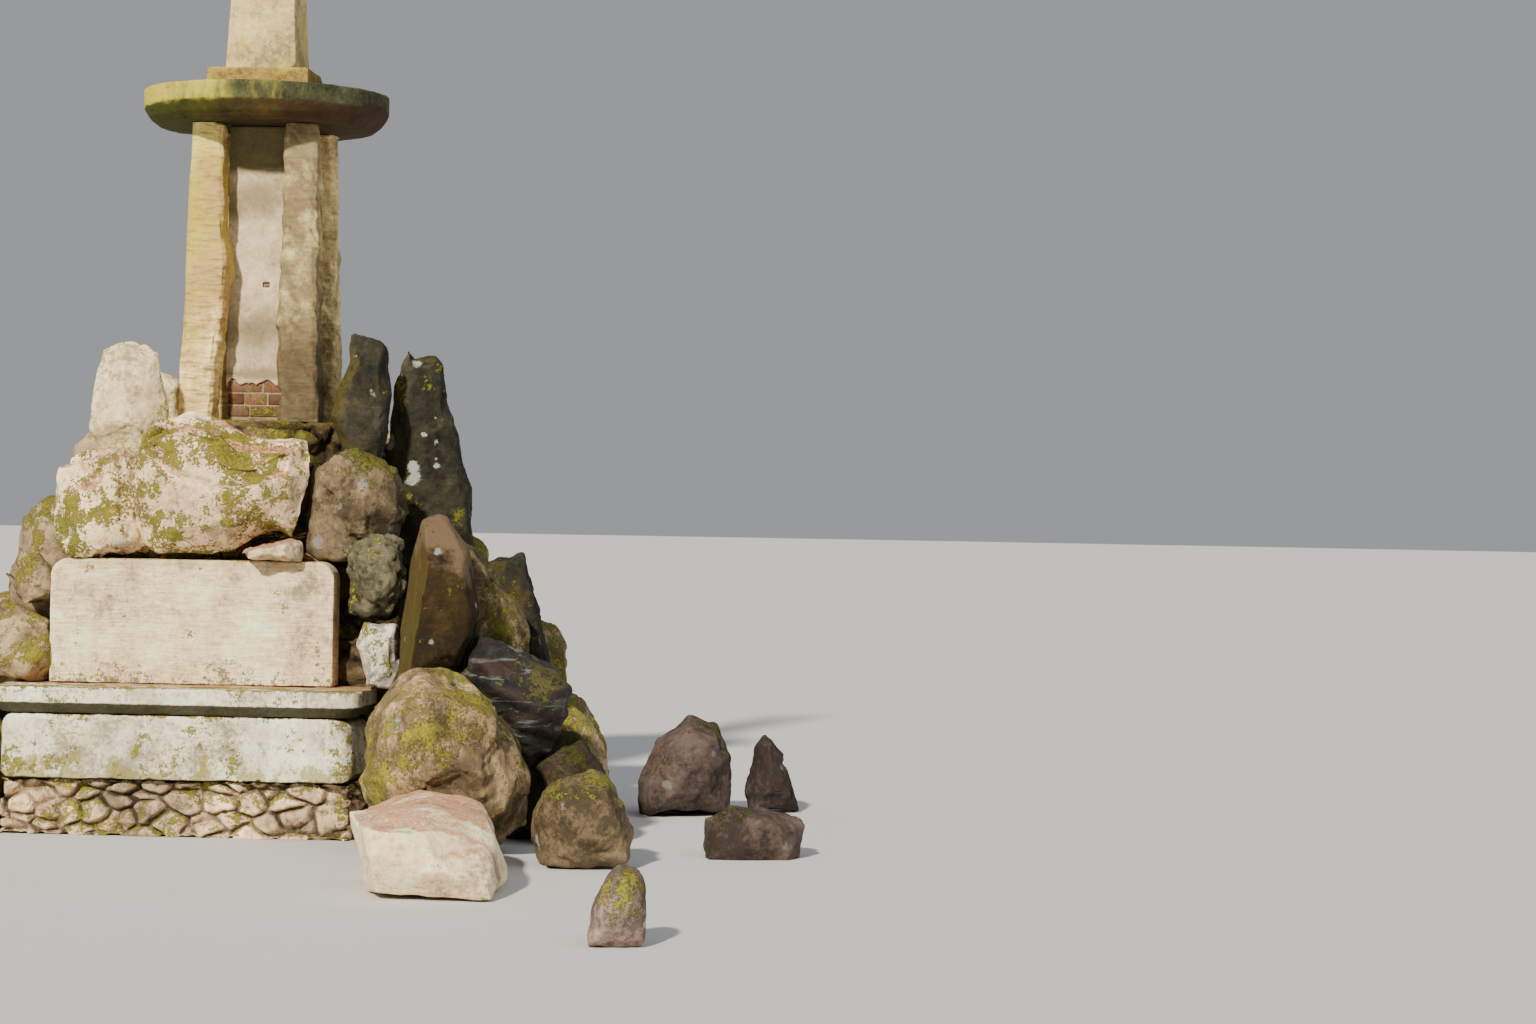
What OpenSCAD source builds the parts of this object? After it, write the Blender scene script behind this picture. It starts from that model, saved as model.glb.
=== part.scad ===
// Obelisk on a round stone table, carried by four rough pillars round a brick pier.
// It stands on a mound of boulders with a stone bench built into the front.
// Millimetres. X to the right, Y to the back, Z up. Origin on the ground, on the axis of the shaft.

/* [Mound] */
// Height of the flat top of the rubble core, where the pillars stand
mound_h = 2450; // [2200:10:2800]
// Height at which the broad lower core steps in
core_step_h = 1150; // [950:10:1350]
// Distance from the axis to the core's sides at the ground
core_foot_r = 1750; // [1600:10:2000]
// Distance from the axis to the lower core's sides at the step
core_step_r = 1250; // [1150:10:1400]
// Distance from the axis to the upper core's sides at the step
core_neck_r = 1000; // [900:10:1100]
// Distance from the axis to the core's sides at its top
core_top_r = 700; // [660:10:850]

/* [Stones] */
// Unevenness of the boulders, as a share of their radius
lumpiness = 0.05; // [0:0.01:0.09]
// How far the random flat faces stand in from a boulder's round form
facet_depth = 0.13; // [0:0.01:0.16]
// Open joint between stones of one kind that lie side by side
stone_joint = 10; // [4:1:25]

/* [Pier and pillars] */
// Side of the square brick pier
pier_w = 360; // [300:5:380]
// Thickness of the render on the pier
render_t = 12; // [8:1:16]
// Height of the brickwork left bare at the pier's foot
bare_brick_h = 210; // [100:5:400]
// Height of the four pillars
pillar_h = 1830; // [1500:10:2100]
// Width of a pillar at its foot, along X
pillar_w = 270; // [230:5:290]
// Depth of a pillar at its foot, along Y
pillar_d = 280; // [230:5:300]
// How much narrower a pillar is at its top
pillar_taper = 70; // [20:5:110]
// How far a pillar's outer edge leans in from foot to top
pillar_lean = 50; // [10:5:60]
// Roughness of the hewn pillar faces
hewn_depth = 8; // [2:1:14]
// How far a pillar's inner face bows towards the pier at its middle
pillar_bow = 32; // [0:2:40]

/* [Round slab] */
// Diameter of the round slab
slab_d = 1520; // [1400:10:1700]
// Thickness of the round slab
slab_t = 220; // [180:5:260]
// Height of the upright rim of the round slab
slab_rim_h = 105; // [70:5:140]
// Width of the sloping underside between the rim and the flat
slab_slope_w = 100; // [60:5:140]

/* [Plinth and shaft] */
// Side of the square plinth
plinth_w = 634; // [560:2:700]
// Height of the plinth
plinth_h = 135; // [100:5:180]
// Side of the shaft at its foot
shaft_w = 444; // [400:2:500]
// Side of the shaft where the pointed tip starts
shaft_top_w = 242; // [200:2:300]
// Height of the shaft below its tip
shaft_h = 2100; // [1600:10:2500]
// Height of the pointed tip
tip_h = 190; // [120:5:300]
// Width of the worn arrises of the shaft
arris_w = 9; // [4:1:16]

/* [Bench] */
// Distance of the bench's middle to the left of the axis
bench_shift = 170; // [100:5:220]
// Distance from the axis back to the bench's rear face
bench_back = 880; // [860:5:900]
// Length of the bench's block
block_w = 2080; // [1900:10:2200]
// Depth of the bench's block
block_d = 600; // [520:10:660]
// Height of the bench's block
block_h = 380; // [320:5:440]
// Radius of the block's front corners in plan
block_corner_r = 110; // [60:5:160]
// Radius of the block's ends as seen from the front
block_end_r = 100; // [20:5:150]
// Height of the rough footing stones below the block
footing_h = 330; // [250:5:380]
// Number of footing stones
footing_n = 7; // [5:1:9]
// How far the seat stands out past the block at the front and ends
seat_overhang = 45; // [25:5:70]
// Thickness of the seat
seat_t = 160; // [130:5:190]
// Height of the seat's upright nose
seat_nose_h = 98; // [80:2:120]
// Length of the backrest
backrest_w = 1700; // [1600:10:1800]
// Height of the backrest above the seat
backrest_h = 740; // [680:5:800]
// Thickness of the backrest
backrest_t = 200; // [150:5:230]
// Radius of the backrest's top corners
backrest_corner_r = 110; // [60:5:160]

/* [Hidden] */

$fn = 64;
// Directions of the core's sides, anticlockwise from +X, and how far each stands out
core_sides = 10;
core_swell = [1, 1.05, 0.97, 1.03, 0.98, 1.04, 1, 0.96, 1.03, 0.98];
core_angle = 360 / core_sides;

// Heights of the beds that carry the upper pieces
slab_z = mound_h + pillar_h;
plinth_z = slab_z + slab_t;
shaft_z = plinth_z + plinth_h;

// Heights of the bench's beds
block_z = footing_h;
seat_z = block_z + block_h;
seat_top = seat_z + seat_t;
backrest_top = seat_top + backrest_h;

pier_face = pier_w / 2 + render_t;
pillar_inner = pier_face - 25;

// The yaw that turns a stone's outline to the front right, where it is mostly seen from
facing = 10;

// Heights of the middles of the three upper rows of boulders
middle_row_z = 0.37 * mound_h;
high_row_z = 0.63 * mound_h;
top_row_z = 0.85 * mound_h;

function unit(v) = v / norm(v);
function mix(a, b, t) = a + (b - a) * t;
function turned(p, a) = [p.x * cos(a) - p.y * sin(a), p.x * sin(a) + p.y * cos(a), p.z];

// Distance from the axis to the mound's slope at height z, which meets the step half way
function slope_r(z) =
    let (middle = (core_step_r + core_neck_r) / 2)
    z < core_step_h
        ? mix(core_foot_r, middle, z / core_step_h)
        : mix(middle, core_top_r, (z - core_step_h) / (mound_h - core_step_h));

// A place on the mound: direction from +X, distance out from the mound's slope, height
function on_mound(bearing, out, z) =
    let (r = slope_r(z) + out) [r * cos(bearing), r * sin(bearing), z];

// Planes are [normal, distance]; a body is the list of planes that close it
function box_planes(lo, hi) = [
    for (i = [0:2])
        for (s = [-1, 1])
            [[for (k = [0:2]) k == i ? s : 0], s > 0 ? hi[i] : -lo[i]]
];
function cone_planes(r_low, r_high, z_low, z_high) = concat(
    [
        for (i = [0:core_sides - 1])
            let (
                slope = (r_low - r_high) * core_swell[i] / (z_high - z_low),
                long = [cos(i * core_angle), sin(i * core_angle), slope],
                reach = r_low * core_swell[i] + slope * z_low
            )
            [long / norm(long), reach / norm(long)]
    ],
    [[[0, 0, 1], z_high], [[0, -1, 0], bench_back]]
);
bodies = [
    cone_planes(core_foot_r, core_step_r, 0, core_step_h),
    cone_planes(core_neck_r, core_top_r, core_step_h, mound_h),
    box_planes(
        [-bench_shift - block_w / 2 - seat_overhang, -bench_back - block_d - seat_overhang, 0],
        [-bench_shift + block_w / 2 + seat_overhang, -bench_back, seat_top]),
    box_planes(
        [-bench_shift - backrest_w / 2, -bench_back - backrest_t, seat_top],
        [-bench_shift + backrest_w / 2, -bench_back, backrest_top]),
    box_planes(
        [-pillar_inner - pillar_w, -pillar_inner - pillar_d, mound_h],
        [pillar_inner + pillar_w, pillar_inner + pillar_d, slab_z])
];

// The plane of a body that stands furthest clear of point c, turned to face away from the body
function parting_plane(body, c) =
    let (clear = [for (k = body) k[0] * c - k[1]])
    [for (i = [0:len(body) - 1]) if (clear[i] == max(clear)) [-body[i][0], -body[i][1]]][0];

// One stone: node, middle, front outline about the middle, depth, turn, seed, roundness
function stone(name, place, outline, depth, turn, seed, roundness = 2.6) =
    [name, place, outline, depth, turn, seed, roundness];

// A round, uneven outline for a stone of the given width and height
function round_outline(w, h, seed, n = 10) =
    let (wobble = rands(0.86, 1.06, n, seed))
    [
        for (i = [0:n - 1])
            let (
                a = 360 * i / n,
                r = 1 / pow(pow(abs(cos(a)), 4) + pow(abs(sin(a)), 4), 1 / 4)
            )
            [w / 2 * cos(a), h / 2 * sin(a)] * r * wobble[i]
    ];

// A row of like boulders side by side along the mound, pressed against one another
function boulder_row(name, count, from, to, z, out, w, d, h, seed) =
    let (
        swing = rands(-4, 4, count, seed),
        rise = rands(-80, 80, count, seed + 1),
        grow = rands(0.9, 1.12, count, seed + 2),
        stand_out = rands(-40, 60, count, seed + 3)
    )
    [
        for (i = [0:count - 1])
            let (bearing = mix(from, to, count > 1 ? i / (count - 1) : 0) + swing[i])
            stone(
                name, on_mound(bearing, out + stand_out[i], z + rise[i]),
                round_outline(w * grow[i], h * grow[i], seed + 10 + i), d * grow[i],
                bearing + 90, seed + 30 + i, 3.6)
    ];

stones = concat(
    [
        stone("crown_boulder",
            on_mound(-91, 130, mix(backrest_top, mound_h, 0.52)),
            [[-520, 310], [-390, 410], [-210, 430], [0, 380], [120, 320], [280, 290], [510, 300], [600, 150],
            [560, -20], [560, -290], [420, -460], [-560, -460], [-610, -100]], 740, 8, 1),
        stone("wedge_stone",
            on_mound(-74, 185, backrest_top + 70),
            [[-210, -10], [110, 70], [200, 50], [210, -90], [-190, -90]], 360, 8, 2),
        stone("left_shoulder_boulder",
            on_mound(-132, 195, mix(backrest_top, mound_h, 0.3)),
            round_outline(820, 1000, 3), 760, 10, 3),
        stone("right_shoulder_boulder",
            on_mound(-46, 170, mix(backrest_top, mound_h, 0.36)),
            round_outline(680, 900, 4), 640, 10, 4),
        stone("standing_stone_left",
            on_mound(-134, 260, mound_h + 10),
            [[-170, 400], [-40, 450], [100, 430], [170, 390], [190, 300], [230, 40], [290, -600], [-290, -600],
            [-220, -80], [-190, 280]], 400, facing, 5, 4),
        stone("standing_stone_left_rear",
            on_mound(153, 145, mound_h + 120),
            [[-120, 250], [-10, 200], [110, 140], [150, -300], [-150, -300]], 280, facing, 6, 4),
        stone("standing_stone_right",
            on_mound(-41, 310, mound_h + 40),
            [[-30, 510], [130, 510], [160, 290], [180, 160], [160, -140], [170, -560], [-130, -560],
            [-180, -10], [-100, 330]], 320, facing, 7, 4),
        stone("standing_stone_right_rear",
            on_mound(-7, 368, 0.927 * mound_h),
            [[-180, 660], [-140, 600], [-10, 630], [40, 550], [40, 370], [140, 110], [210, -220], [320, -760],
            [-260, -860], [-300, -170], [-300, 150], [-270, 480], [-220, 600]], 520, facing, 8, 4),
        stone("pointed_boulder",
            on_mound(-45, 825, 0.567 * mound_h),
            [[20, 510], [60, 500], [180, 310], [250, -50], [270, -230], [220, -560], [-230, -560], [-270, -240],
            [-170, 120], [-160, 260], [-80, 470]], 860, facing, 9),
        stone("grey_rubble_stone",
            on_mound(-48, 350, 0.624 * mound_h),
            [[-190, 200], [0, 250], [150, 200], [200, -50], [140, -320], [-190, -320]], 560, facing, 10),
        stone("marbled_stone",
            on_mound(-48, 240, seat_top + 160),
            [[-170, 100], [-120, 260], [110, 270], [170, -60], [130, -300], [-160, -300]], 460, facing, 11),
        stone("flank_boulder",
            on_mound(-22, 505, core_step_h + 110),
            [[-200, 490], [-50, 460], [60, 340], [230, 90], [310, -240], [240, -600], [-300, -600],
            [-380, 110]], 900, facing, 12),
        stone("far_flank_boulder",
            on_mound(-4, 445, core_step_h - 70),
            [[-240, 640], [80, 600], [200, 240], [260, -120], [240, -560], [-340, -560], [-360, 400]],
            940, facing, 13),
        stone("layered_boulder",
            on_mound(-35, 960, core_step_h - 250),
            [[-300, 330], [-110, 270], [220, 110], [290, 10], [280, -130], [200, -320], [60, -480],
            [-220, -480], [-400, -30]], 900, facing, 14),
        stone("large_mossy_boulder",
            on_mound(-53, 1005, 520),
            [[-180, 540], [-30, 530], [130, 440], [290, 330], [400, 160], [480, -70], [490, -370], [420, -600],
            [-370, -600], [-480, -110], [-490, 200], [-450, 340], [-340, 450]], 1120, facing, 15),
        stone("reddish_boulder",
            on_mound(-26, 775, 330),
            [[-420, 260], [-130, 350], [20, 290], [140, 150], [240, -30], [270, -360], [-420, -360]],
            1040, facing, 16),
        stone("lower_right_boulder",
            on_mound(-46, 1775, 250),
            [[-280, 190], [-130, 290], [10, 270], [100, 230], [180, 110], [250, -60], [290, -290],
            [-280, -290], [-300, 0]], 720, facing, 17),
        stone("flat_front_boulder",
            on_mound(-63.5, 1920, 190),
            [[-440, 220], [-30, 250], [190, 210], [290, 160], [360, 50], [390, -120], [430, -260], [-430, -260]],
            2160, facing, 18, 5)
    ],
    [
        for (s = [
            [-63, 4580, 190, [[60, 210], [120, 160], [140, 70], [160, -230], [-160, -230], [-110, -20],
                [-50, 120]], 380],
            [14, 1150, 290, [[-330, -80], [-200, 210], [-10, 380], [190, 310], [310, 90], [340, -340],
                [-340, -340]], 640],
            [17, 1725, 240, [[-210, -120], [-150, 170], [-70, 270], [100, 50], [210, -290], [-200, -290]], 460],
            [-28, 1965, 150, [[-340, -190], [-280, 70], [-140, 170], [60, 130], [290, 40], [340, -190]], 560]
        ])
            stone("outlying_stones", on_mound(s[0], s[1], s[2]), s[3], s[4], facing, 19 + s[2])
    ],
    [
        stone("bench_left_boulders", on_mound(-141, 370, seat_top + 560),
            [[-280, 80], [-60, 200], [240, 210], [280, -20], [260, -240], [-270, -240]], 560, facing, 20),
        stone("bench_left_boulders", on_mound(-142, 355, seat_top + 200),
            [[-270, 130], [-40, 260], [240, 270], [280, 30], [250, -300], [-270, -300]], 560, facing, 21)
    ],
    boulder_row("back_boulders_low", 5, 3, 108, 330, 225, 1080, 860, 960, 100),
    boulder_row("left_boulders_low", 4, 135, 222, 330, 225, 1080, 860, 960, 200),
    boulder_row("back_boulders_middle", 4, 20, 118, middle_row_z, 300, 1020, 760, 0.37 * mound_h, 300),
    boulder_row("left_boulders_middle", 3, 148, 210, middle_row_z, 300, 1020, 760, 0.37 * mound_h, 400),
    boulder_row("back_boulders_high", 6, 30, 205, high_row_z, 145, 940, 700, 0.36 * mound_h, 500),
    boulder_row("back_boulders_top", 4, 32, 126, top_row_z, 115, 760, 540, 0.31 * mound_h, 600),
    boulder_row("back_boulders_top", 1, 186, 186, top_row_z, 135, 760, 540, 0.31 * mound_h, 700)
);

// Half the reach of a stone along direction n
function reach_along(s, n) =
    let (
        w = max([for (p = s[2]) abs(p.x)]),
        h = max([for (p = s[2]) abs(p.y)]),
        a = turned(n, -s[4])
    )
    norm([w * a.x, s[3] / 2 * a.y, h * a.z]);

// The plane that keeps stone s clear of its neighbour o. The larger stone gets the larger share,
// and the plane lies along the flatter sides of the two.
function neighbour_plane(s, o) =
    let (
        way = o[1] - s[1],
        axes = [[1, 0, 0], [0, 1, 0], [0, 0, 1]],
        n = unit([for (a = axes) way * a / pow(reach_along(s, a) + reach_along(o, a), 2)]),
        mine = reach_along(s, n),
        theirs = reach_along(o, n),
        gap = s[0] == o[0] ? stone_joint / 2 : 0
    )
    [n, n * (s[1] + way * mine / (mine + theirs)) - gap];

function near(s, o) =
    let (way = o[1] - s[1], n = unit(way))
    norm(way) < 1.5 * (reach_along(s, n) + reach_along(o, n));

// Random flat faces that break a stone's round form
function facet_planes(s, count = 10) =
    let (
        turn = rands(0, 360, count, s[5] + 1000),
        tilt = rands(-50, 80, count, s[5] + 2000),
        inset = rands(0, facet_depth, count, s[5] + 3000)
    )
    [
        for (i = [0:count - 1])
            let (n = [cos(turn[i]) * cos(tilt[i]), sin(turn[i]) * cos(tilt[i]), sin(tilt[i])])
            [n, n * s[1] + reach_along(s, n) * (1 - inset[i])]
    ];

// Every plane that bounds stone number i: the ground, built bodies, neighbours, its own facets
function planes_of(i) = concat(
    [[[0, 0, -1], 0]],
    [for (b = bodies) parting_plane(b, stones[i][1])],
    [for (j = [0:len(stones) - 1]) if (j != i && near(stones[i], stones[j]))
        neighbour_plane(stones[i], stones[j])],
    facet_planes(stones[i])
);

// Point p drawn towards the middle c until it lies within all the planes
function trimmed(p, c, planes) =
    c + (p - c) * min([
        for (k = planes)
            let (reach = (p - c) * k[0], room = k[1] - c * k[0])
            reach > room ? room / reach : 1
    ]);

// A closed solid through rings of points, with one point at each end
module ring_solid(rings, first, last) {
    n = len(rings[0]);
    m = len(rings);
    end = n * m;
    points = concat([for (r = rings) for (p = r) p], [first, last]);
    faces = concat(
        [for (i = [0:n - 1]) [end, (i + 1) % n, i]],
        [for (j = [0:m - 2]) for (i = [0:n - 1]) [j * n + i, j * n + (i + 1) % n, (j + 1) * n + i]],
        [for (j = [0:m - 2]) for (i = [0:n - 1])
            [j * n + (i + 1) % n, (j + 1) * n + (i + 1) % n, (j + 1) * n + i]],
        [for (i = [0:n - 1]) [end + 1, (m - 1) * n + i, (m - 1) * n + (i + 1) % n]]
    );
    polyhedron(points = points, faces = faces, convexity = 4);
}

// Stone number i: its outline swept through its depth, uneven, and trimmed by its planes
module boulder(i, layers = 7) {
    s = stones[i];
    n = len(s[2]);
    wobble = rands(1 - lumpiness, 1 + lumpiness, layers * n, s[5] + 4000);
    planes = planes_of(i);
    function place(x, y, z) = trimmed(s[1] + turned([x, y, z], s[4]), s[1], planes);
    rings = [
        for (j = [0:layers - 1])
            let (
                t = -cos(180 * (j + 0.7) / (layers + 0.4)),
                k = pow(1 - pow(abs(t), s[6]), 1 / s[6])
            )
            [
                for (q = [0:n - 1])
                    let (w = wobble[j * n + q])
                    place(s[2][q].x * k * w, s[3] / 2 * t, s[2][q].y * k * w)
            ]
    ];
    ring_solid(rings, place(0, -s[3] / 2, 0), place(0, s[3] / 2, 0));
}

module boulders_of(name) {
    for (i = [0:len(stones) - 1])
        if (stones[i][0] == name)
            boulder(i);
}

// Plan of one storey of the core: the corners where neighbouring sides meet
function core_plan(r) = [
    for (i = [0:core_sides - 1])
        let (
            j = (i + 1) % core_sides,
            a = r * core_swell[i],
            b = r * core_swell[j],
            t = i * core_angle
        )
        [
            a * sin(t + core_angle) - b * sin(t),
            b * cos(t) - a * cos(t + core_angle)
        ] / sin(core_angle)
];

module core_storey(z, h, r_low, r_high) {
    intersection() {
        translate([0, 0, z])
            linear_extrude(height = h, scale = r_high / r_low)
                polygon(core_plan(r_low));
        translate([-core_foot_r * 1.5, -bench_back, z])
            cube([core_foot_r * 3, core_foot_r * 3, h]);
    }
}

module rubble_core() {
    color("darkkhaki") {
        core_storey(0, core_step_h, core_foot_r, core_step_r);
        core_storey(core_step_h, mound_h - core_step_h, core_neck_r, core_top_r);
    }
}

// Plan of the bench with its two front corners rounded
module bench_plan(w, d, r) {
    translate([-bench_shift - w / 2, -bench_back - d + r])
        square([w, d - r]);
    translate([-bench_shift - w / 2 + r, -bench_back - d])
        square([w - 2 * r, d]);
    for (s = [-1, 1])
        translate([-bench_shift + s * (w / 2 - r), -bench_back - d + r])
            circle(r);
}

// Where the joints between the footing stones lie, as shares of the block's length
function footing_joint(i) =
    let (drift = i == 0 || i == footing_n ? 0 : rands(-0.2, 0.2, footing_n + 1, 47)[i])
    (i + drift) / footing_n;

// Rough stones of different widths in a row under the block, a little apart
module bench_footing_stones() {
    deepest_set_back = 50;
    sides = 14;
    square = 9;
    set_back = rands(0, deepest_set_back, footing_n, 48);
    color("gray")
        for (i = [0:footing_n - 1])
            let (
                left = footing_joint(i) * block_w,
                w = footing_joint(i + 1) * block_w - left - stone_joint,
                d = block_d - deepest_set_back - set_back[i],
                wobble = rands(0.955, 1, sides, 50 + i)
            )
            translate([left - bench_shift - block_w / 2 + (w + stone_joint) / 2, -bench_back - d / 2, 0])
                linear_extrude(height = footing_h)
                    polygon([
                        for (k = [0:sides - 1])
                            let (
                                a = 360 * (k + 0.4) / sides,
                                r = 1 / pow(pow(abs(cos(a)), square) + pow(abs(sin(a)), square), 1 / square)
                            )
                            [w / 2 * cos(a), d / 2 * sin(a)] * r * wobble[k]
                    ]);
}

// A board of width w and height h with round corners, centred on X, standing on Y = 0
module round_board(w, h, r, foot_r) {
    hull() {
        for (s = [-1, 1]) {
            translate([s * (w / 2 - r), h - r])
                circle(r);
            translate([s * (w / 2 - foot_r), foot_r])
                circle(foot_r);
        }
    }
}

// Block rounded at its ends both in plan and as seen from the front
module bench_block() {
    foot_r = block_end_r * 0.6;
    color("lightgray")
        intersection() {
            translate([0, 0, block_z])
                linear_extrude(height = block_h)
                    bench_plan(block_w, block_d, block_corner_r);
            translate([-bench_shift, -bench_back + 1, block_z])
                rotate([90, 0, 0])
                    linear_extrude(height = block_d + 2)
                        round_board(block_w, block_h, block_end_r, foot_r);
        }
}

// Seat slab: a hollowed underside that grows out to an upright nose
module bench_seat() {
    sheet = 0.01;
    color("lightgray")
        hull() {
            translate([0, 0, seat_z])
                linear_extrude(height = sheet)
                    bench_plan(block_w, block_d, block_corner_r);
            translate([0, 0, seat_top - seat_nose_h])
                linear_extrude(height = seat_nose_h)
                    bench_plan(
                        block_w + 2 * seat_overhang, block_d + seat_overhang,
                        block_corner_r + seat_overhang);
        }
}

module bench_backrest() {
    r = backrest_corner_r;
    color("tan")
        translate([-bench_shift, -bench_back, seat_top])
            rotate([90, 0, 0])
                linear_extrude(height = backrest_t) {
                    translate([-backrest_w / 2, 0])
                        square([backrest_w, backrest_h - r]);
                    translate([-backrest_w / 2 + r, 0])
                        square([backrest_w - 2 * r, backrest_h]);
                    for (s = [-1, 1])
                        translate([s * (backrest_w / 2 - r), backrest_h - r])
                            circle(r);
                }
}

module upright_box(w, z_low, z_high) {
    translate([-w / 2, -w / 2, z_low])
        cube([w, w, z_high - z_low]);
}

module brick_pier() {
    color("indianred")
        upright_box(pier_w, mound_h, slab_z);
}

module pier_render() {
    color("wheat")
        difference() {
            upright_box(pier_w + 2 * render_t, mound_h + bare_brick_h, slab_z);
            upright_box(pier_w, mound_h, slab_z + 1);
        }
}

// How far a pillar's inner face stands proud at share t of its height, as a share of its bow
function bow_at(t) = lookup(t, [
    [0, -1.4], [0.2, -0.9], [0.35, 0], [0.5, 1], [0.7, 0.2], [0.87, 0.35], [1, -0.3]
]);

// A rough-hewn pillar in the corner x > 0, y > 0, narrower and leaning in towards its top
module pillar(seed, bow, layers = 11) {
    cut = 28;
    wobble = rands(-hewn_depth, hewn_depth, layers * 24, seed);
    function ring(j) =
        let (
            t = j / (layers - 1),
            outer_x = pillar_inner + pillar_w - pillar_lean * t,
            outer_y = pillar_inner + pillar_d - pillar_lean * t,
            inner_x = outer_x - pillar_w + pillar_taper * t - pillar_bow * bow * bow_at(t),
            inner_y = max(outer_y - pillar_d + pillar_taper * t / 2, pier_face),
            mid_x = (inner_x + outer_x) / 2,
            mid_y = (inner_y + outer_y) / 2,
            corners = [
                [inner_x + cut, inner_y], [mid_x, inner_y], [outer_x - cut, inner_y],
                [outer_x, inner_y + cut], [outer_x, mid_y], [outer_x, outer_y - cut],
                [outer_x - cut, outer_y], [mid_x, outer_y], [inner_x + cut, outer_y],
                [inner_x, outer_y - cut], [inner_x, mid_y], [inner_x, inner_y + cut]
            ]
        )
        [
            for (i = [0:11])
                [
                    corners[i].x + wobble[j * 24 + 2 * i],
                    max(corners[i].y + wobble[j * 24 + 2 * i + 1], pier_face),
                    mound_h + pillar_h * t
                ]
        ];
    middle = pillar_inner + pillar_w / 2;
    color("rosybrown")
        ring_solid(
            [for (j = [0:layers - 1]) ring(j)],
            [middle, middle, mound_h],
            [middle - pillar_lean / 2, middle - pillar_lean / 2, slab_z]);
}

module pillar_front_left() {
    rotate([0, 0, 180]) pillar(61, 1);
}

module pillar_front_right() {
    mirror([0, 1, 0]) pillar(62, 0.2);
}

module pillar_back_left() {
    mirror([1, 0, 0]) pillar(63, 0.5);
}

module pillar_back_right() {
    pillar(64, 0.7);
}

// A round slab with an upright rim over a sloping edge, chipped in two places
module round_slab() {
    r = slab_d / 2;
    chip = 120;
    color("olivedrab")
        difference() {
            translate([0, 0, slab_z])
                rotate_extrude()
                    polygon([
                        [0, 0], [r - slab_slope_w, 0], [r, slab_t - slab_rim_h],
                        [r, slab_t], [0, slab_t]
                    ]);
            for (a = [-8, 131])
                rotate([0, 0, a])
                    translate([r - 20, 0, slab_z])
                        rotate([0, 38, 20])
                            cube([chip, chip * 1.4, chip], center = true);
        }
}

// A low square slab whose right rear corner has broken away
module plinth() {
    broken = 110;
    break_w = 600;
    color("darkkhaki")
        difference() {
            upright_box(plinth_w, plinth_z, shaft_z);
            translate([plinth_w / 2 - broken, plinth_w / 2 - broken, shaft_z])
                rotate([0, 38, 45])
                    translate([-break_w / 4, -break_w / 2, 0])
                        cube([break_w, break_w, plinth_h * 2]);
        }
}

// Square plan of side w with its corners cut off by c, at height z
function cut_square(w, c, z) =
    let (h = w / 2)
    [
        [h, h - c, z], [h - c, h, z], [c - h, h, z], [-h, h - c, z],
        [-h, c - h, z], [c - h, -h, z], [h - c, -h, z], [h, c - h, z]
    ];

// Tapered shaft with a pointed tip and one chipped foot corner
module shaft() {
    chip = 60;
    tip_share = 0.12;
    color("darkkhaki")
        difference() {
            ring_solid(
                [
                    cut_square(shaft_w, arris_w, shaft_z),
                    cut_square(shaft_top_w, arris_w, shaft_z + shaft_h),
                    cut_square(shaft_top_w * tip_share, arris_w * tip_share,
                        shaft_z + shaft_h + tip_h * (1 - tip_share))
                ],
                [0, 0, shaft_z], [0, 0, shaft_z + shaft_h + tip_h]);
            translate([shaft_w / 2, -shaft_w / 2, shaft_z])
                rotate([0, 35, -45])
                    cube([chip, chip * 2, chip], center = true);
        }
}

module crown_boulder() {
    color("rosybrown") boulders_of("crown_boulder");
}

module wedge_stone() {
    color("gray") boulders_of("wedge_stone");
}

module left_shoulder_boulder() {
    color("darkkhaki") boulders_of("left_shoulder_boulder");
}

module right_shoulder_boulder() {
    color("gray") boulders_of("right_shoulder_boulder");
}

module standing_stone_left() {
    color("tan") boulders_of("standing_stone_left");
}

module standing_stone_left_rear() {
    color("tan") boulders_of("standing_stone_left_rear");
}

module standing_stone_right() {
    color("dimgray") boulders_of("standing_stone_right");
}

module standing_stone_right_rear() {
    color("dimgray") boulders_of("standing_stone_right_rear");
}

module pointed_boulder() {
    color("peru") boulders_of("pointed_boulder");
}

module grey_rubble_stone() {
    color("gray") boulders_of("grey_rubble_stone");
}

module marbled_stone() {
    color("lightgray") boulders_of("marbled_stone");
}

module flank_boulder() {
    color("olivedrab") boulders_of("flank_boulder");
}

module far_flank_boulder() {
    color("dimgray") boulders_of("far_flank_boulder");
}

module layered_boulder() {
    color("slategray") boulders_of("layered_boulder");
}

module large_mossy_boulder() {
    color("olivedrab") boulders_of("large_mossy_boulder");
}

module reddish_boulder() {
    color("rosybrown") boulders_of("reddish_boulder");
}

module lower_right_boulder() {
    color("gray") boulders_of("lower_right_boulder");
}

module flat_front_boulder() {
    color("tan") boulders_of("flat_front_boulder");
}

module outlying_stones() {
    color("gray") boulders_of("outlying_stones");
}

module bench_left_boulders() {
    color("rosybrown") boulders_of("bench_left_boulders");
}

module back_boulders_low() {
    color("gray") boulders_of("back_boulders_low");
}

module left_boulders_low() {
    color("darkkhaki") boulders_of("left_boulders_low");
}

module back_boulders_middle() {
    color("rosybrown") boulders_of("back_boulders_middle");
}

module left_boulders_middle() {
    color("gray") boulders_of("left_boulders_middle");
}

module back_boulders_high() {
    color("tan") boulders_of("back_boulders_high");
}

module back_boulders_top() {
    color("gray") boulders_of("back_boulders_top");
}

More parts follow.
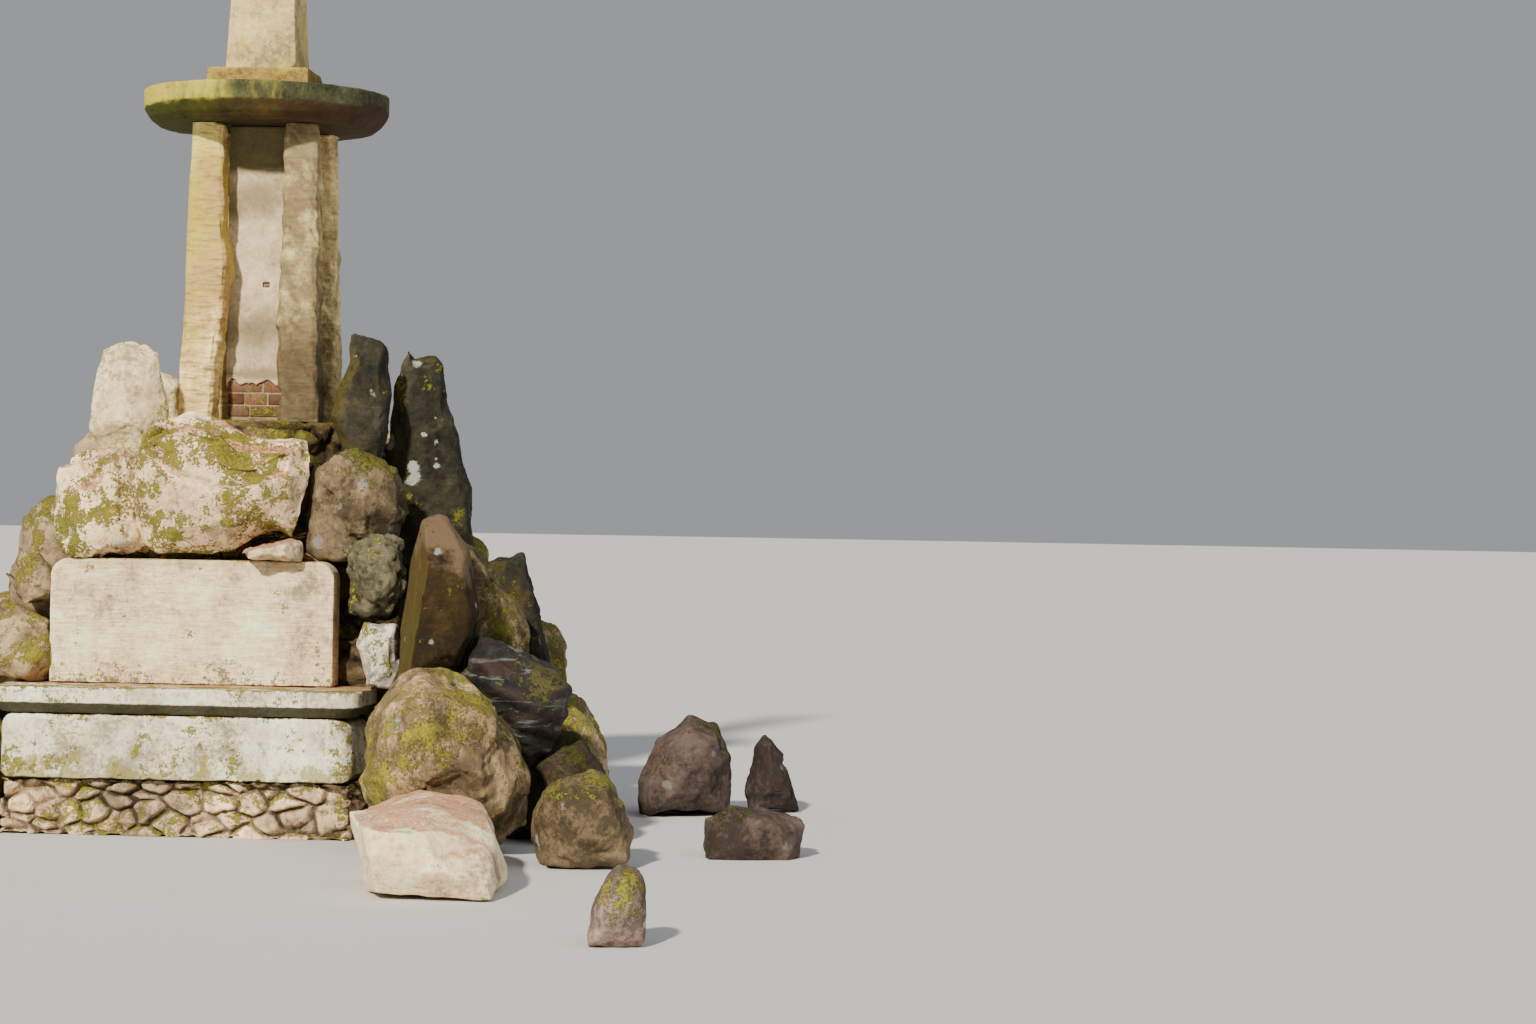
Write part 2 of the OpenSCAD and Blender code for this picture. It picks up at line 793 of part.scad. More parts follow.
rubble_core();
bench_footing_stones();
bench_block();
bench_seat();
bench_backrest();
brick_pier();
pier_render();
pillar_front_left();
pillar_front_right();
pillar_back_left();
pillar_back_right();
round_slab();
plinth();
shaft();
crown_boulder();
wedge_stone();
left_shoulder_boulder();
right_shoulder_boulder();
standing_stone_left();
standing_stone_left_rear();
standing_stone_right();
standing_stone_right_rear();
pointed_boulder();
grey_rubble_stone();
marbled_stone();
flank_boulder();
far_flank_boulder();
layered_boulder();
large_mossy_boulder();
reddish_boulder();
lower_right_boulder();
flat_front_boulder();
outlying_stones();
bench_left_boulders();
back_boulders_low();
left_boulders_low();
back_boulders_middle();
left_boulders_middle();
back_boulders_high();
back_boulders_top();
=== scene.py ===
"""Weathered looks of an obelisk on a boulder mound with a stone bench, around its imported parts."""

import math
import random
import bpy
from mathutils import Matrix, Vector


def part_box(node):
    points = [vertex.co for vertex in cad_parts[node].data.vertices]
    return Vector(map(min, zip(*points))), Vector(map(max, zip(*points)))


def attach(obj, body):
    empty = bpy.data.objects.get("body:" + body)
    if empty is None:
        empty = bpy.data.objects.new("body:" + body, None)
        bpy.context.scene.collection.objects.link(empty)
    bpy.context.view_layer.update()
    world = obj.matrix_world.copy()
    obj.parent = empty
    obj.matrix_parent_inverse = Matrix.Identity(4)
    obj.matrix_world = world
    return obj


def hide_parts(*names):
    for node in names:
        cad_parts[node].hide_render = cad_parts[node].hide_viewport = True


bl_info = {
    "name": "Obelisk on a boulder mound",
    "version": (1, 0, 0),
    "blender": (4, 5, 0),
    "location": "3D View > Sidebar > Obelisk",
    "description": "Hewn stone, boulders, brick, render and moss for a garden obelisk",
    "category": "Object",
}

from functools import cache
from typing import NamedTuple

import bmesh
import bpy
import numpy as np
from bpy.props import FloatProperty, FloatVectorProperty, PointerProperty
from mathutils import Matrix, Vector, noise

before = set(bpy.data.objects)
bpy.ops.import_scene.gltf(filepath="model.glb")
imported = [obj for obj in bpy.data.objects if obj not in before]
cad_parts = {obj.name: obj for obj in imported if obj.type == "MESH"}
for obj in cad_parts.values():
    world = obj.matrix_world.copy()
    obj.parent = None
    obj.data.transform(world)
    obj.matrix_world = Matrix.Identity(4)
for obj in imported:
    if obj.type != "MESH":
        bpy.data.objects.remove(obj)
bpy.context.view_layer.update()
BODY = "root"
# Vertices closer than this are one point of a CAD mesh
MERGE = 0.00005
# The noise functions start from the clock without one
NOISE_SEED = 11
BRICK_SEED = 7
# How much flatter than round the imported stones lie
PACKED_FLATNESS = 1.45
# How far at most the crown boulder's underside comes down to the backrest
CROWN_DROP = 0.09


def linear(red, green, blue):
    """A colour given as 0 to 255 display values, as the linear values that a shader takes."""

    def channel(value):
        share = value / 255
        return share / 12.92 if share <= 0.04045 else ((share + 0.055) / 1.055) ** 2.4

    return channel(red), channel(green), channel(blue)


def colour_of(name, red, green, blue):
    """A colour property with its display values as the default."""
    return FloatVectorProperty(
        name=name,
        description=f"{name} at its cleanest",
        subtype="COLOR",
        size=3,
        min=0,
        max=1,
        default=linear(red, green, blue),
    )


def length_of(name, description, metres):
    """A length property in metres."""
    return FloatProperty(
        name=name, description=description, default=metres, min=0.0005, unit="LENGTH"
    )


class BoulderSettings(bpy.types.PropertyGroup):
    """How the rough stones of the mound are shaped."""

    voxel: length_of("Boulder mesh size", "Spacing of the mesh on a boulder", 0.014)
    rear_voxel: length_of("Rear boulder mesh size", "Spacing of the mesh on a rear boulder", 0.021)
    small_voxel: length_of("Small stone mesh size", "Spacing of the mesh on a small stone", 0.011)
    core_voxel: length_of("Rubble mesh size", "Spacing of the mesh on the rubble core", 0.028)
    cobble: length_of("Rubble size", "Width of the stones that show in the rubble core", 0.24)
    cobble_depth: length_of("Rubble depth", "Depth of the joints in the rubble core", 0.06)
    footing_stone: length_of("Footing stone size", "Width of the stones under the bench", 0.17)
    footing_depth: length_of("Footing joint depth", "Depth of the joints under the bench", 0.05)
    moss_depth: length_of("Moss depth", "Height of the moss cushions", 0.008)


class DressedSettings(bpy.types.PropertyGroup):
    """How the worked stones are shaped."""

    voxel: length_of("Dressed mesh size", "Spacing of the mesh on a worked stone", 0.009)
    wear: length_of("Face wear", "Unevenness of a worked face", 0.002)
    tool_pitch: length_of("Tool mark pitch", "Height between the tool marks on a pillar", 0.040)
    tool_depth: length_of("Tool mark depth", "Depth of the tool marks on a pillar", 0.005)


class PierSettings(bpy.types.PropertyGroup):
    """Sizes of the bricks in the pier and of its render."""

    brick_length: length_of("Brick length", "Length of a brick", 0.215)
    brick_height: length_of("Brick height", "Height of a brick", 0.065)
    brick_width: length_of("Brick width", "Width of a brick", 0.1025)
    joint: length_of("Joint", "Thickness of the mortar joints", 0.010)
    ragged: length_of("Broken edge", "How far the render's lower edge is broken", 0.075)


class SlabSettings(bpy.types.PropertyGroup):
    """Profile of the round slab."""

    rim_height: length_of("Rim height", "Height of the upright rim", 0.105)
    slope_width: length_of("Slope width", "Width of the sloping underside", 0.100)


class ColourSettings(bpy.types.PropertyGroup):
    """Colours of the stones and of what grows and lies on them."""

    pink_stone: colour_of("Pink boulder stone", 240, 208, 164)
    pale_stone: colour_of("Pale standing stone", 238, 216, 168)
    dark_stone: colour_of("Dark standing stone", 48, 45, 33)
    # The ochre stone is darkened with painted shade of trees
    ochre_stone: colour_of("Ochre boulder stone", 66, 50, 18)
    olive_stone: colour_of("Mossy boulder stone", 178, 152, 112)
    slate_stone: colour_of("Layered boulder stone", 40, 38, 30)
    marble_stone: colour_of("Marbled stone", 236, 228, 200)
    grey_stone: colour_of("Grey rubble stone", 84, 80, 60)
    red_stone: colour_of("Reddish boulder stone", 108, 92, 68)
    beige_stone: colour_of("Flat beige boulder stone", 246, 218, 176)
    purple_stone: colour_of("Purple field stone", 128, 108, 98)
    field_stone: colour_of("Field stone", 150, 130, 98)
    footing_stone: colour_of("Bench footing stone", 206, 178, 142)
    rubble: colour_of("Rubble fill", 92, 76, 52)
    shaft_stone: colour_of("Shaft stone", 222, 197, 136)
    plinth_stone: colour_of("Plinth stone", 154, 128, 68)
    slab_stone: colour_of("Round slab stone", 66, 68, 44)
    pillar_stone: colour_of("Pillar stone", 226, 194, 128)
    grey_pillar: colour_of("Grey patches on the pillars", 128, 106, 78)
    render: colour_of("Lime render", 210, 190, 154)
    brick: colour_of("Brick", 116, 78, 54)
    mortar: colour_of("Mortar", 140, 122, 94)
    bench_stone: colour_of("Bench stone", 232, 222, 190)
    backrest_stone: colour_of("Backrest stone", 240, 214, 172)
    moss: colour_of("Moss", 146, 138, 50)
    dark_moss: colour_of("Dark moss", 58, 56, 16)
    algae: colour_of("Yellow-green lichen film", 196, 184, 66)
    lichen: colour_of("Crust lichen", 176, 178, 166)
    litter: colour_of("Needle litter", 226, 158, 116)


class StageSettings(bpy.types.PropertyGroup):
    """Floor, lights and camera."""

    floor_radius: length_of("Floor radius", "Radius of the pale floor", 220)
    key_strength: FloatProperty(
        name="Key light", description="Strength of the key light", default=6.5, min=0
    )
    sky_strength: FloatProperty(
        name="Soft light", description="Strength of the light from all round", default=0.37, min=0
    )
    eye_place: FloatVectorProperty(
        name="Camera place",
        description="Where the camera stands",
        size=3,
        unit="LENGTH",
        default=(4.249, -19.799, 1.95),
    )
    turn: FloatProperty(
        name="Camera turn",
        description="Turn of the camera to the left of +Y",
        unit="ROTATION",
        default=math.radians(3.1),
    )
    roll: FloatProperty(
        name="Camera roll",
        description="Tilt of the camera about its own axis",
        unit="ROTATION",
        default=math.radians(1.0),
    )
    lens: FloatProperty(name="Lens", description="Focal length in millimetres", default=75, min=1)


class ObeliskSettings(bpy.types.PropertyGroup):
    """All settings of the obelisk."""

    boulders: PointerProperty(type=BoulderSettings)
    dressed: PointerProperty(type=DressedSettings)
    pier: PointerProperty(type=PierSettings)
    slab: PointerProperty(type=SlabSettings)
    colours: PointerProperty(type=ColourSettings)
    stage: PointerProperty(type=StageSettings)


def settings():
    """The settings that the operators work from."""
    return bpy.context.scene.obelisk


# Meshes


def placed(name, data):
    """A new object in the scene that holds a mesh, a light or a camera."""
    holder = bpy.data.objects.new(name, data)
    bpy.context.scene.collection.objects.link(holder)
    return holder


def add_block(bm, centre, size):
    """Adds a block to a bmesh and returns its vertices."""
    matrix = Matrix.Translation(centre) @ Matrix.Diagonal((*size, 1))
    return bmesh.ops.create_cube(bm, size=1, matrix=matrix)["verts"]


def block(low, high):
    """A bmesh of one block from corner to corner."""
    bm = bmesh.new()
    add_block(bm, (low + high) / 2, high - low)
    return bm


def mesh_of(bm, name="rough"):
    """A mesh of a bmesh, which is freed."""
    mesh = bpy.data.meshes.new(name)
    bm.to_mesh(mesh)
    bm.free()
    return mesh


def merged_copy(node):
    """A CAD node's mesh as a bmesh with its loose triangles joined."""
    bm = bmesh.new()
    bm.from_mesh(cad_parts[node].data)
    bmesh.ops.remove_doubles(bm, verts=bm.verts, dist=MERGE)
    return bm


def linked_verts(start):
    """All vertices that edges join to this one."""
    found = {start}
    waiting = [start]
    while waiting:
        vert = waiting.pop()
        for edge in vert.link_edges:
            other = edge.other_vert(vert)
            if other not in found:
                found.add(other)
                waiting.append(other)
    return found


def solids_of(node):
    """One bmesh for each closed solid of a CAD node."""
    whole = merged_copy(node)
    whole.verts.index_update()
    seen = set()
    solids = []
    for vert in whole.verts:
        if vert in seen:
            continue
        group = linked_verts(vert)
        seen |= group
        kept = {v.index for v in group}
        solid = whole.copy()
        others = [v for v in solid.verts if v.index not in kept]
        bmesh.ops.delete(solid, geom=others, context="VERTS")
        solids.append(solid)
    whole.free()
    return solids


def evaluated(mesh, kind, keep=False, **values):
    """The mesh that a mesh becomes under one modifier. The first is removed unless it is kept."""
    holder = placed("rough", mesh)
    modifier = holder.modifiers.new(kind.title(), kind)
    for key, value in values.items():
        setattr(modifier, key, value)
    bpy.context.view_layer.update()
    graph = bpy.context.evaluated_depsgraph_get()
    made = bpy.data.meshes.new_from_object(holder.evaluated_get(graph))
    bpy.data.objects.remove(holder)
    if not keep:
        bpy.data.meshes.remove(mesh)
    return made


def points_of(mesh):
    """A mesh's vertices as rows of an array."""
    flat = np.empty(len(mesh.vertices) * 3, np.float32)
    mesh.vertices.foreach_get("co", flat)
    return flat.reshape(-1, 3)


def set_points(mesh, points):
    """Moves a mesh's vertices to the rows of an array."""
    mesh.vertices.foreach_set("co", points.astype(np.float32).ravel())
    mesh.update()


def push(mesh, offset):
    """Moves each vertex along its normal by offset(point, normal) metres."""
    points = points_of(mesh)
    flat = np.empty(len(mesh.vertices) * 3, np.float32)
    mesh.vertex_normals.foreach_get("vector", flat)
    normals = flat.reshape(-1, 3)
    moves = [offset(Vector(p), Vector(n)) for p, n in zip(points, normals)]
    set_points(mesh, points + normals * np.array(moves)[:, None])


def raise_to(mesh, floor):
    """Lifts the points under a level up to it."""
    points = points_of(mesh)
    points[:, 2] = np.maximum(points[:, 2], floor)
    set_points(mesh, points)


def worn(solid, voxel, light, heavy, share):
    """A fine mesh of a solid, which is freed.

    Its arrises are rounded from lightly to heavily as share(point) goes from 0 to 1.
    """
    fine = evaluated(mesh_of(solid), "REMESH", mode="VOXEL", voxel_size=voxel)
    crisp = evaluated(fine, "SMOOTH", keep=True, factor=0.5, iterations=light)
    soft = evaluated(fine, "SMOOTH", factor=0.5, iterations=heavy)
    start = points_of(crisp)
    end = points_of(soft)
    shares = np.array([share(Vector(p)) for p in start])[:, None]
    set_points(crisp, start + (end - start) * shares)
    bpy.data.meshes.remove(soft)
    return crisp


def thinned(mesh, triangles):
    """The mesh with its flatter places thinned to about that many triangles."""
    mesh.calc_loop_triangles()
    count = len(mesh.loop_triangles)
    return evaluated(mesh, "DECIMATE", ratio=triangles / count) if count > triangles else mesh


def joined(name, meshes, tones):
    """One mesh of several, with each one's tone kept on its vertices as the attribute stone_tone."""
    bm = bmesh.new()
    layer = bm.verts.layers.float.new("stone_tone")
    for mesh, tone in zip(meshes, tones):
        start = len(bm.verts)
        bm.from_mesh(mesh)
        bm.verts.ensure_lookup_table()
        for vert in bm.verts[start:]:
            vert[layer] = tone
        bpy.data.meshes.remove(mesh)
    return mesh_of(bm, name)


def piece(name, mesh, node, slot, finish):
    """A finished piece that rides on the part and stands for a CAD node."""
    for polygon in mesh.polygons:
        polygon.use_smooth = True
    mesh.materials.clear()
    mesh.materials.append(finish_of(finish))
    obj = placed(name, mesh)
    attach(obj, BODY)
    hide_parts(node)


# Stone surfaces


def smooth(low, high, value):
    """0 below low, 1 above high and an eased slope between them."""
    share = min(1.0, max(0.0, (value - low) / (high - low)))
    return share * share * (3 - 2 * share)


def broken_face(point, size):
    """Height from -1 to 1 of flat tilted patches about `size` metres across, as stone breaks."""
    at = point / size
    gaps, centres = noise.voronoi(at)
    heights = [(at - c).dot(noise.noise_vector(c * 5.3)) * 2.6 for c in centres[:2]]
    own = 0.5 + 0.5 * smooth(0.0, 0.22, gaps[1] - gaps[0])
    return heights[0] * own + heights[1] * (1 - own)


def rough_noise(point, size, octaves=4):
    """Fractal noise from about -1 to 1 whose widest lumps are `size` metres across."""
    return noise.fractal(point / size, 0.8, 2.0, octaves)


def packed_stones(point, size):
    """Height from -1 in the joints to 0 on the faces of packed stones about `size` metres across.

    The second value is the tone of the stone at that point.
    """
    flat = Vector((point.x, point.y, point.z * PACKED_FLATNESS))
    bent = flat + noise.noise_vector(flat / size) * size * 0.25
    gaps, centres = noise.voronoi(bent / size)
    rise = smooth(0.03, 0.26, gaps[1] - gaps[0]) - 1
    return rise, 3.0 * noise.noise(centres[0] * 3.7) + 2.5 * min(0.0, rise + 0.3)


def direction(bearing, lean):
    """A unit vector at a bearing from +X, leaning up, both in degrees."""
    turn = Matrix.Rotation(math.radians(bearing), 3, "Z")
    return turn @ Matrix.Rotation(math.radians(-lean), 3, "Y") @ Vector((1, 0, 0))


def cut_back(solid, place, way):
    """Takes off what lies beyond the plane through a place, and closes the cut."""
    cut = bmesh.ops.bisect_plane(
        solid,
        geom=solid.verts[:] + solid.edges[:] + solid.faces[:],
        dist=MERGE,
        plane_co=place,
        plane_no=way,
        clear_outer=True,
    )
    edges = [g for g in cut["geom_cut"] if isinstance(g, bmesh.types.BMEdge)]
    bmesh.ops.holes_fill(solid, edges=edges, sides=0)


def cut_facets(solid, facets):
    """Cuts flat faces, each a bearing, a lean and how deep it goes."""
    for bearing, lean, depth in facets:
        way = direction(bearing, lean)
        far = max((v.co for v in solid.verts), key=way.dot)
        cut_back(solid, far - way * depth, way)


def middle_and_reach(solid):
    """The mean of a solid's corners, and how far from it they usually lie."""
    centre = sum((v.co for v in solid.verts), Vector()) / len(solid.verts)
    reaches = sorted((v.co - centre).length for v in solid.verts)
    return centre, reaches[len(reaches) // 2]


def knock_corners(solid, rng, count, depth, longest):
    """Cuts flat chips of up to `depth` metres off a solid's farthest corners, deeper off a spike.

    A spike is what stands out `longest` times as far as the solid's corners usually do.
    """
    for _ in range(count):
        centre, usual = middle_and_reach(solid)
        far = max(solid.verts, key=lambda v: (v.co - centre).length)
        way = (far.co - centre).normalized()
        way = (way + Vector([rng.uniform(-0.25, 0.25) for _ in range(3)])).normalized()
        reach = max((v.co - centre).dot(way) for v in solid.verts)
        reach = min(reach - depth * rng.uniform(0.5, 1), usual * longest)
        cut_back(solid, centre + way * reach, way)


def packed_piece(name, node, solid, voxel, size, depth, triangles, slot, finish):
    """A wall or heap of packed stones about `size` metres across that fills a solid."""

    def height(point, normal):
        flat = smooth(0.55, 0.85, abs(normal.z))
        stones = depth * packed_stones(point, size)[0]
        rough = 0.3 * depth * rough_noise(point, 0.3) + 0.22 * depth * broken_face(point, size * 0.55)
        return (stones + rough) * (1 - 0.7 * flat)

    mesh = worn(solid, voxel, 2, 4, lambda p: 0.5)
    push(mesh, height)
    mesh = thinned(mesh, triangles)
    raise_to(mesh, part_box(node)[0].z)
    tones = [packed_stones(vert.co, size)[1] for vert in mesh.vertices]
    mesh.attributes.new("stone_tone", "FLOAT", "POINT").data.foreach_set("value", tones)
    piece(name, mesh, node, slot, finish)


def widen_top(solid, share):
    """Widens the top quarter of a standing stone across X, by that share at its very top."""
    levels = [v.co.z for v in solid.verts]
    low, high = min(levels), max(levels)
    top = [v for v in solid.verts if v.co.z > high - 0.3 * (high - low)]
    middle = sum(v.co.x for v in top) / len(top)
    widest = 0.12 * (high - low)
    for vert in top:
        rise = (vert.co.z - low) / (high - low)
        wide = (vert.co.x - middle) * (1 + share * smooth(0.7, 1.0, rise))
        vert.co.x = middle + max(-widest, min(widest, wide))


def settled(mesh, drop):
    """Lets a stone's underside down by drop(point) metres, less and less up to half its height."""
    points = points_of(mesh)
    low, high = points[:, 2].min(), points[:, 2].max()
    half = (low + high) / 2
    for point in points:
        point[2] -= drop(point) * (1 - smooth(low + 0.04, half, float(point[2])))
    set_points(mesh, points)


def crown_drop(point):
    """The crown boulder lies on the backrest at its left and on the wedge stone at its right."""
    return 0.085 * (1 - smooth(0.04, 0.24, point[0])) + 0.10 * smooth(0.28, 0.45, point[0])


class Boulder(NamedTuple):
    """How one node of rough stones is shaped and finished."""

    finish: str
    slot: str = "boulder_stone"
    # Triangles of each stone
    triangles: int = 9000
    # Depth of the broad lumps in metres
    lump: float = 0.030
    # Depth and width of the broken faces in metres
    chip: float = 0.030
    chip_size: float = 0.34
    # Corners knocked off each stone and how deep
    corners: int = 4
    corner_depth: float = 0.06
    # How many times as far out as usual a corner may stand
    longest: float = 1.45
    # Smoothing steps where the stone is most worn
    wear: int = 10
    # Depth of the level layers in metres
    layers: float = 0.0
    # How much lighter or darker than its kind each stone is, in turn; the low tones of the pointed,
    # flank, far flank, reddish and outlying stones are painted shade of trees
    tones: tuple = (0.0,)
    # How much wider a standing stone's top is than its solid's
    broad_top: float = 0.0
    # Broken faces: bearing from +X and lean in degrees, and depth in metres
    facets: tuple = ()
    # How far its underside comes down at a point
    drop: object = None
    # Steps across the face: height at the middle, slope to the right, sag and depth, in metres
    ledges: tuple = ()
    # Whether its mesh is fine, for a small stone, or coarse, for one at the back
    small: bool = False
    rear: bool = False


BOULDERS = {
    "crown_boulder": Boulder(
        "pink_stone", "mossy_stone", 36000, lump=0.018, chip=0.022, chip_size=0.42, corners=3,
        corner_depth=0.03, wear=5, drop=crown_drop, facets=((-25, 0, 0.05), (-5, 35, 0.03)),
        ledges=((2.03, -0.07, 0.62, 0.07), (2.33, -0.06, 0.0, 0.04)),
    ),
    "wedge_stone": Boulder(
        "beige_stone", triangles=4000, chip=0.016, corners=0, wear=4, small=True, tones=(-0.8,)
    ),
    "left_shoulder_boulder": Boulder("pink_stone", triangles=14000, chip=0.04),
    "right_shoulder_boulder": Boulder("field_stone", triangles=14000, chip=0.04, tones=(-1.5,)),
    "standing_stone_left": Boulder(
        "pale_stone", triangles=16000, lump=0.010, chip=0.018, corners=0, wear=4
    ),
    "standing_stone_left_rear": Boulder(
        "pale_stone", triangles=6000, lump=0.010, chip=0.012, corners=0, wear=4, tones=(0.8,)
    ),
    "standing_stone_right": Boulder(
        "dark_stone", "dark_stone", 14000, lump=0.010, chip=0.018, corners=0, wear=6, broad_top=1.1
    ),
    "standing_stone_right_rear": Boulder(
        "dark_stone", "dark_stone", 16000, lump=0.012, chip=0.026, corners=0, wear=4
    ),
    # Its low tone is painted shade of trees
    "pointed_boulder": Boulder(
        "ochre_stone", triangles=26000, lump=0.008, chip=0.012, chip_size=0.4, corners=0, wear=2,
        tones=(-2.0,), facets=((-84, 3, 0.10), (-160, 8, 0.09), (-78, 42, 0.10)),
    ),
    "grey_rubble_stone": Boulder("grey_stone", chip=0.03, chip_size=0.14, small=True),
    "marbled_stone": Boulder("marble_stone", chip=0.016, small=True),
    # The two flank boulders' low tones are painted shade of trees
    "flank_boulder": Boulder("olive_stone", "mossy_stone", 16000, lump=0.04, tones=(-2.6,)),
    "far_flank_boulder": Boulder("dark_stone", "dark_stone", 14000, lump=0.035, tones=(-1.8,)),
    "layered_boulder": Boulder(
        "slate_stone", "dark_stone", 24000, lump=0.014, chip=0.022, chip_size=0.3, wear=4, layers=0.016,
        tones=(-1.9,), facets=((-70, 30, 0.07), (-100, -25, 0.05)),
    ),
    "large_mossy_boulder": Boulder(
        "olive_stone", "mossy_stone", 40000, lump=0.045, wear=16, tones=(0.3,)
    ),
    # The reddish boulder's low tone is painted shade of trees
    "reddish_boulder": Boulder("red_stone", triangles=14000, lump=0.035, tones=(-3.6,)),
    "lower_right_boulder": Boulder("red_stone", triangles=16000, lump=0.035, tones=(0.2,)),
    "flat_front_boulder": Boulder(
        "beige_stone", triangles=20000, lump=0.02, chip=0.010, chip_size=0.5, wear=12, tones=(0.3,)
    ),
    # The low tones of three outlying stones are painted shade of trees
    "outlying_stones": Boulder(
        "purple_stone", chip=0.02, corners=2, wear=12, tones=(1.8, -3.0, -3.2, -3.0)
    ),
    "bench_left_boulders": Boulder("field_stone", corners=9, longest=1.15),
    "back_boulders_low": Boulder("field_stone", triangles=7000, rear=True),
    "left_boulders_low": Boulder("field_stone", triangles=7000, corners=7, longest=1.2, rear=True),
    "back_boulders_middle": Boulder("field_stone", triangles=6000, rear=True),
    "left_boulders_middle": Boulder("field_stone", triangles=6000, corners=7, longest=1.2, rear=True),
    "back_boulders_high": Boulder("field_stone", triangles=5000, rear=True),
    "back_boulders_top": Boulder("field_stone", triangles=5000, rear=True),
}


def boulder_surface(shape, seed):
    """The height of a boulder's surface over its worn form, as a function of point and normal."""
    shift = Vector((seed * 3.71, seed * 1.93, seed * 5.37))
    sink = 0.12 * (shape.lump + shape.chip)
    moss = settings().boulders.moss_depth

    def height(point, normal):
        at = point + shift
        made = shape.lump * rough_noise(at, 0.55)
        made += shape.chip * broken_face(at, shape.chip_size)
        made += shape.chip * 0.4 * broken_face(at, shape.chip_size * 0.33)
        made += moss * max(0.0, normal.z) * rough_noise(at, 0.07, 2)
        if shape.layers:
            bed = point.z + 0.35 * point.x + 0.05 * rough_noise(at, 0.5)
            made += shape.layers * (abs(bed * 8.0 % 1.0 - 0.5) * 2 - 0.5)
        for level, slope, sag, depth in shape.ledges:
            line = level + slope * point.x + sag * point.x ** 2 + 0.03 * rough_noise(at, 0.5, 2)
            made -= depth * smooth(0.0, 0.055, point.z - line) * max(0.0, -normal.y)
        return made - sink

    return height


def make_boulders(node, seed):
    """Makes the rough stones of one node."""
    shape = BOULDERS[node]
    sizes = settings().boulders
    voxel = sizes.small_voxel if shape.small else sizes.rear_voxel if shape.rear else sizes.voxel
    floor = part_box(node)[0].z - (CROWN_DROP if shape.drop else 0.0)
    meshes = []
    tones = []
    for number, solid in enumerate(solids_of(node)):
        rng = random.Random(seed * 100 + number)
        knock_corners(solid, rng, shape.corners, shape.corner_depth, shape.longest)
        cut_facets(solid, shape.facets)
        if shape.broad_top:
            widen_top(solid, shape.broad_top)
        centre, usual = middle_and_reach(solid)
        # What stands out as far as this, as a share of the usual, is worn most
        spike = 1.25 if shape.corners else 9.0

        def share(point, centre=centre, usual=usual, spike=spike):
            worn_here = 0.5 * smooth(-0.3, 0.4, rough_noise(point, 0.4, 2))
            return max(worn_here, smooth(spike, spike + 0.2, (point - centre).length / usual))

        mesh = worn(solid, voxel, 3, 2 * shape.wear, share)
        if shape.drop:
            settled(mesh, shape.drop)
        push(mesh, boulder_surface(shape, seed + number))
        mesh = thinned(mesh, shape.triangles)
        raise_to(mesh, floor)
        meshes.append(mesh)
        tones.append(shape.tones[number % len(shape.tones)] + rng.uniform(-0.5, 0.5))
    whole = joined(node + "_rock", meshes, tones)
    piece(node + "_rock", whole, node, shape.slot, shape.finish)


class Dressed(NamedTuple):
    """How one worked stone is shaped and finished."""

    finish: str
    slot: str
    triangles: int
    # Where its noise starts, its dents' depth, its waves' width and its chips' depth
    face: tuple = ()
    # Smoothing steps where it is least and most worn
    light: int = 1
    heavy: int = 6
    # Spacing of its mesh, or 0 for the usual one
    voxel: float = 0.0


DRESSED = {
    "bench_block": Dressed("bench_stone", "bench_stone", 30000, (9.0, 0.003, 0.5, 0.003), 4, 16),
    "bench_seat": Dressed("bench_stone", "bench_stone", 30000, (11.0, 0.0025, 0.5, 0.002), 3, 10),
    "bench_backrest": Dressed("backrest_stone", "backrest_stone", 24000, (13.0, 0.0015), 2, 8),
    "round_slab": Dressed("table_stone", "table_stone", 60000, (3.0, 0.003, 0.5), 2, 8),
    "plinth": Dressed("plinth_stone", "shaft_stone", 16000, (5.0, 0.002), voxel=0.008),
    "shaft": Dressed("shaft_stone", "shaft_stone", 26000, (7.0, 0.001), voxel=0.008),
    "pillar": Dressed("pillar_stone", "pillar_stone", 26000, heavy=10, voxel=0.008),
}


def worked_face(shift, lump, wave=0.4, chips=0.0):
    """The height of a worked stone's faces: slight waves, and broken patches of that depth."""
    wear = settings().dressed.wear

    def height(point, normal):
        at = point + Vector((shift, shift * 1.3, shift * 0.7))
        made = wear * rough_noise(at, wave) + lump * rough_noise(at, 0.12)
        if chips:
            made += chips * broken_face(at, 0.1)
        return made - 0.5 * (wear + lump + chips)

    return height


def make_dressed(node, shape, solid=None, height=None, tone=0.0):
    """Makes a worked stone from its CAD node, or from a solid made for it."""

    def share(point):
        return smooth(0.0, 0.45, rough_noise(point, 0.16, 3))

    voxel = shape.voxel or settings().dressed.voxel
    mesh = worn(solid or merged_copy(node), voxel, shape.light, shape.heavy, share)
    push(mesh, height or worked_face(*shape.face))
    mesh = thinned(mesh, shape.triangles)
    whole = joined(node + "_stone", [mesh], [tone])
    piece(node + "_stone", whole, node, shape.slot, shape.finish)


# Materials


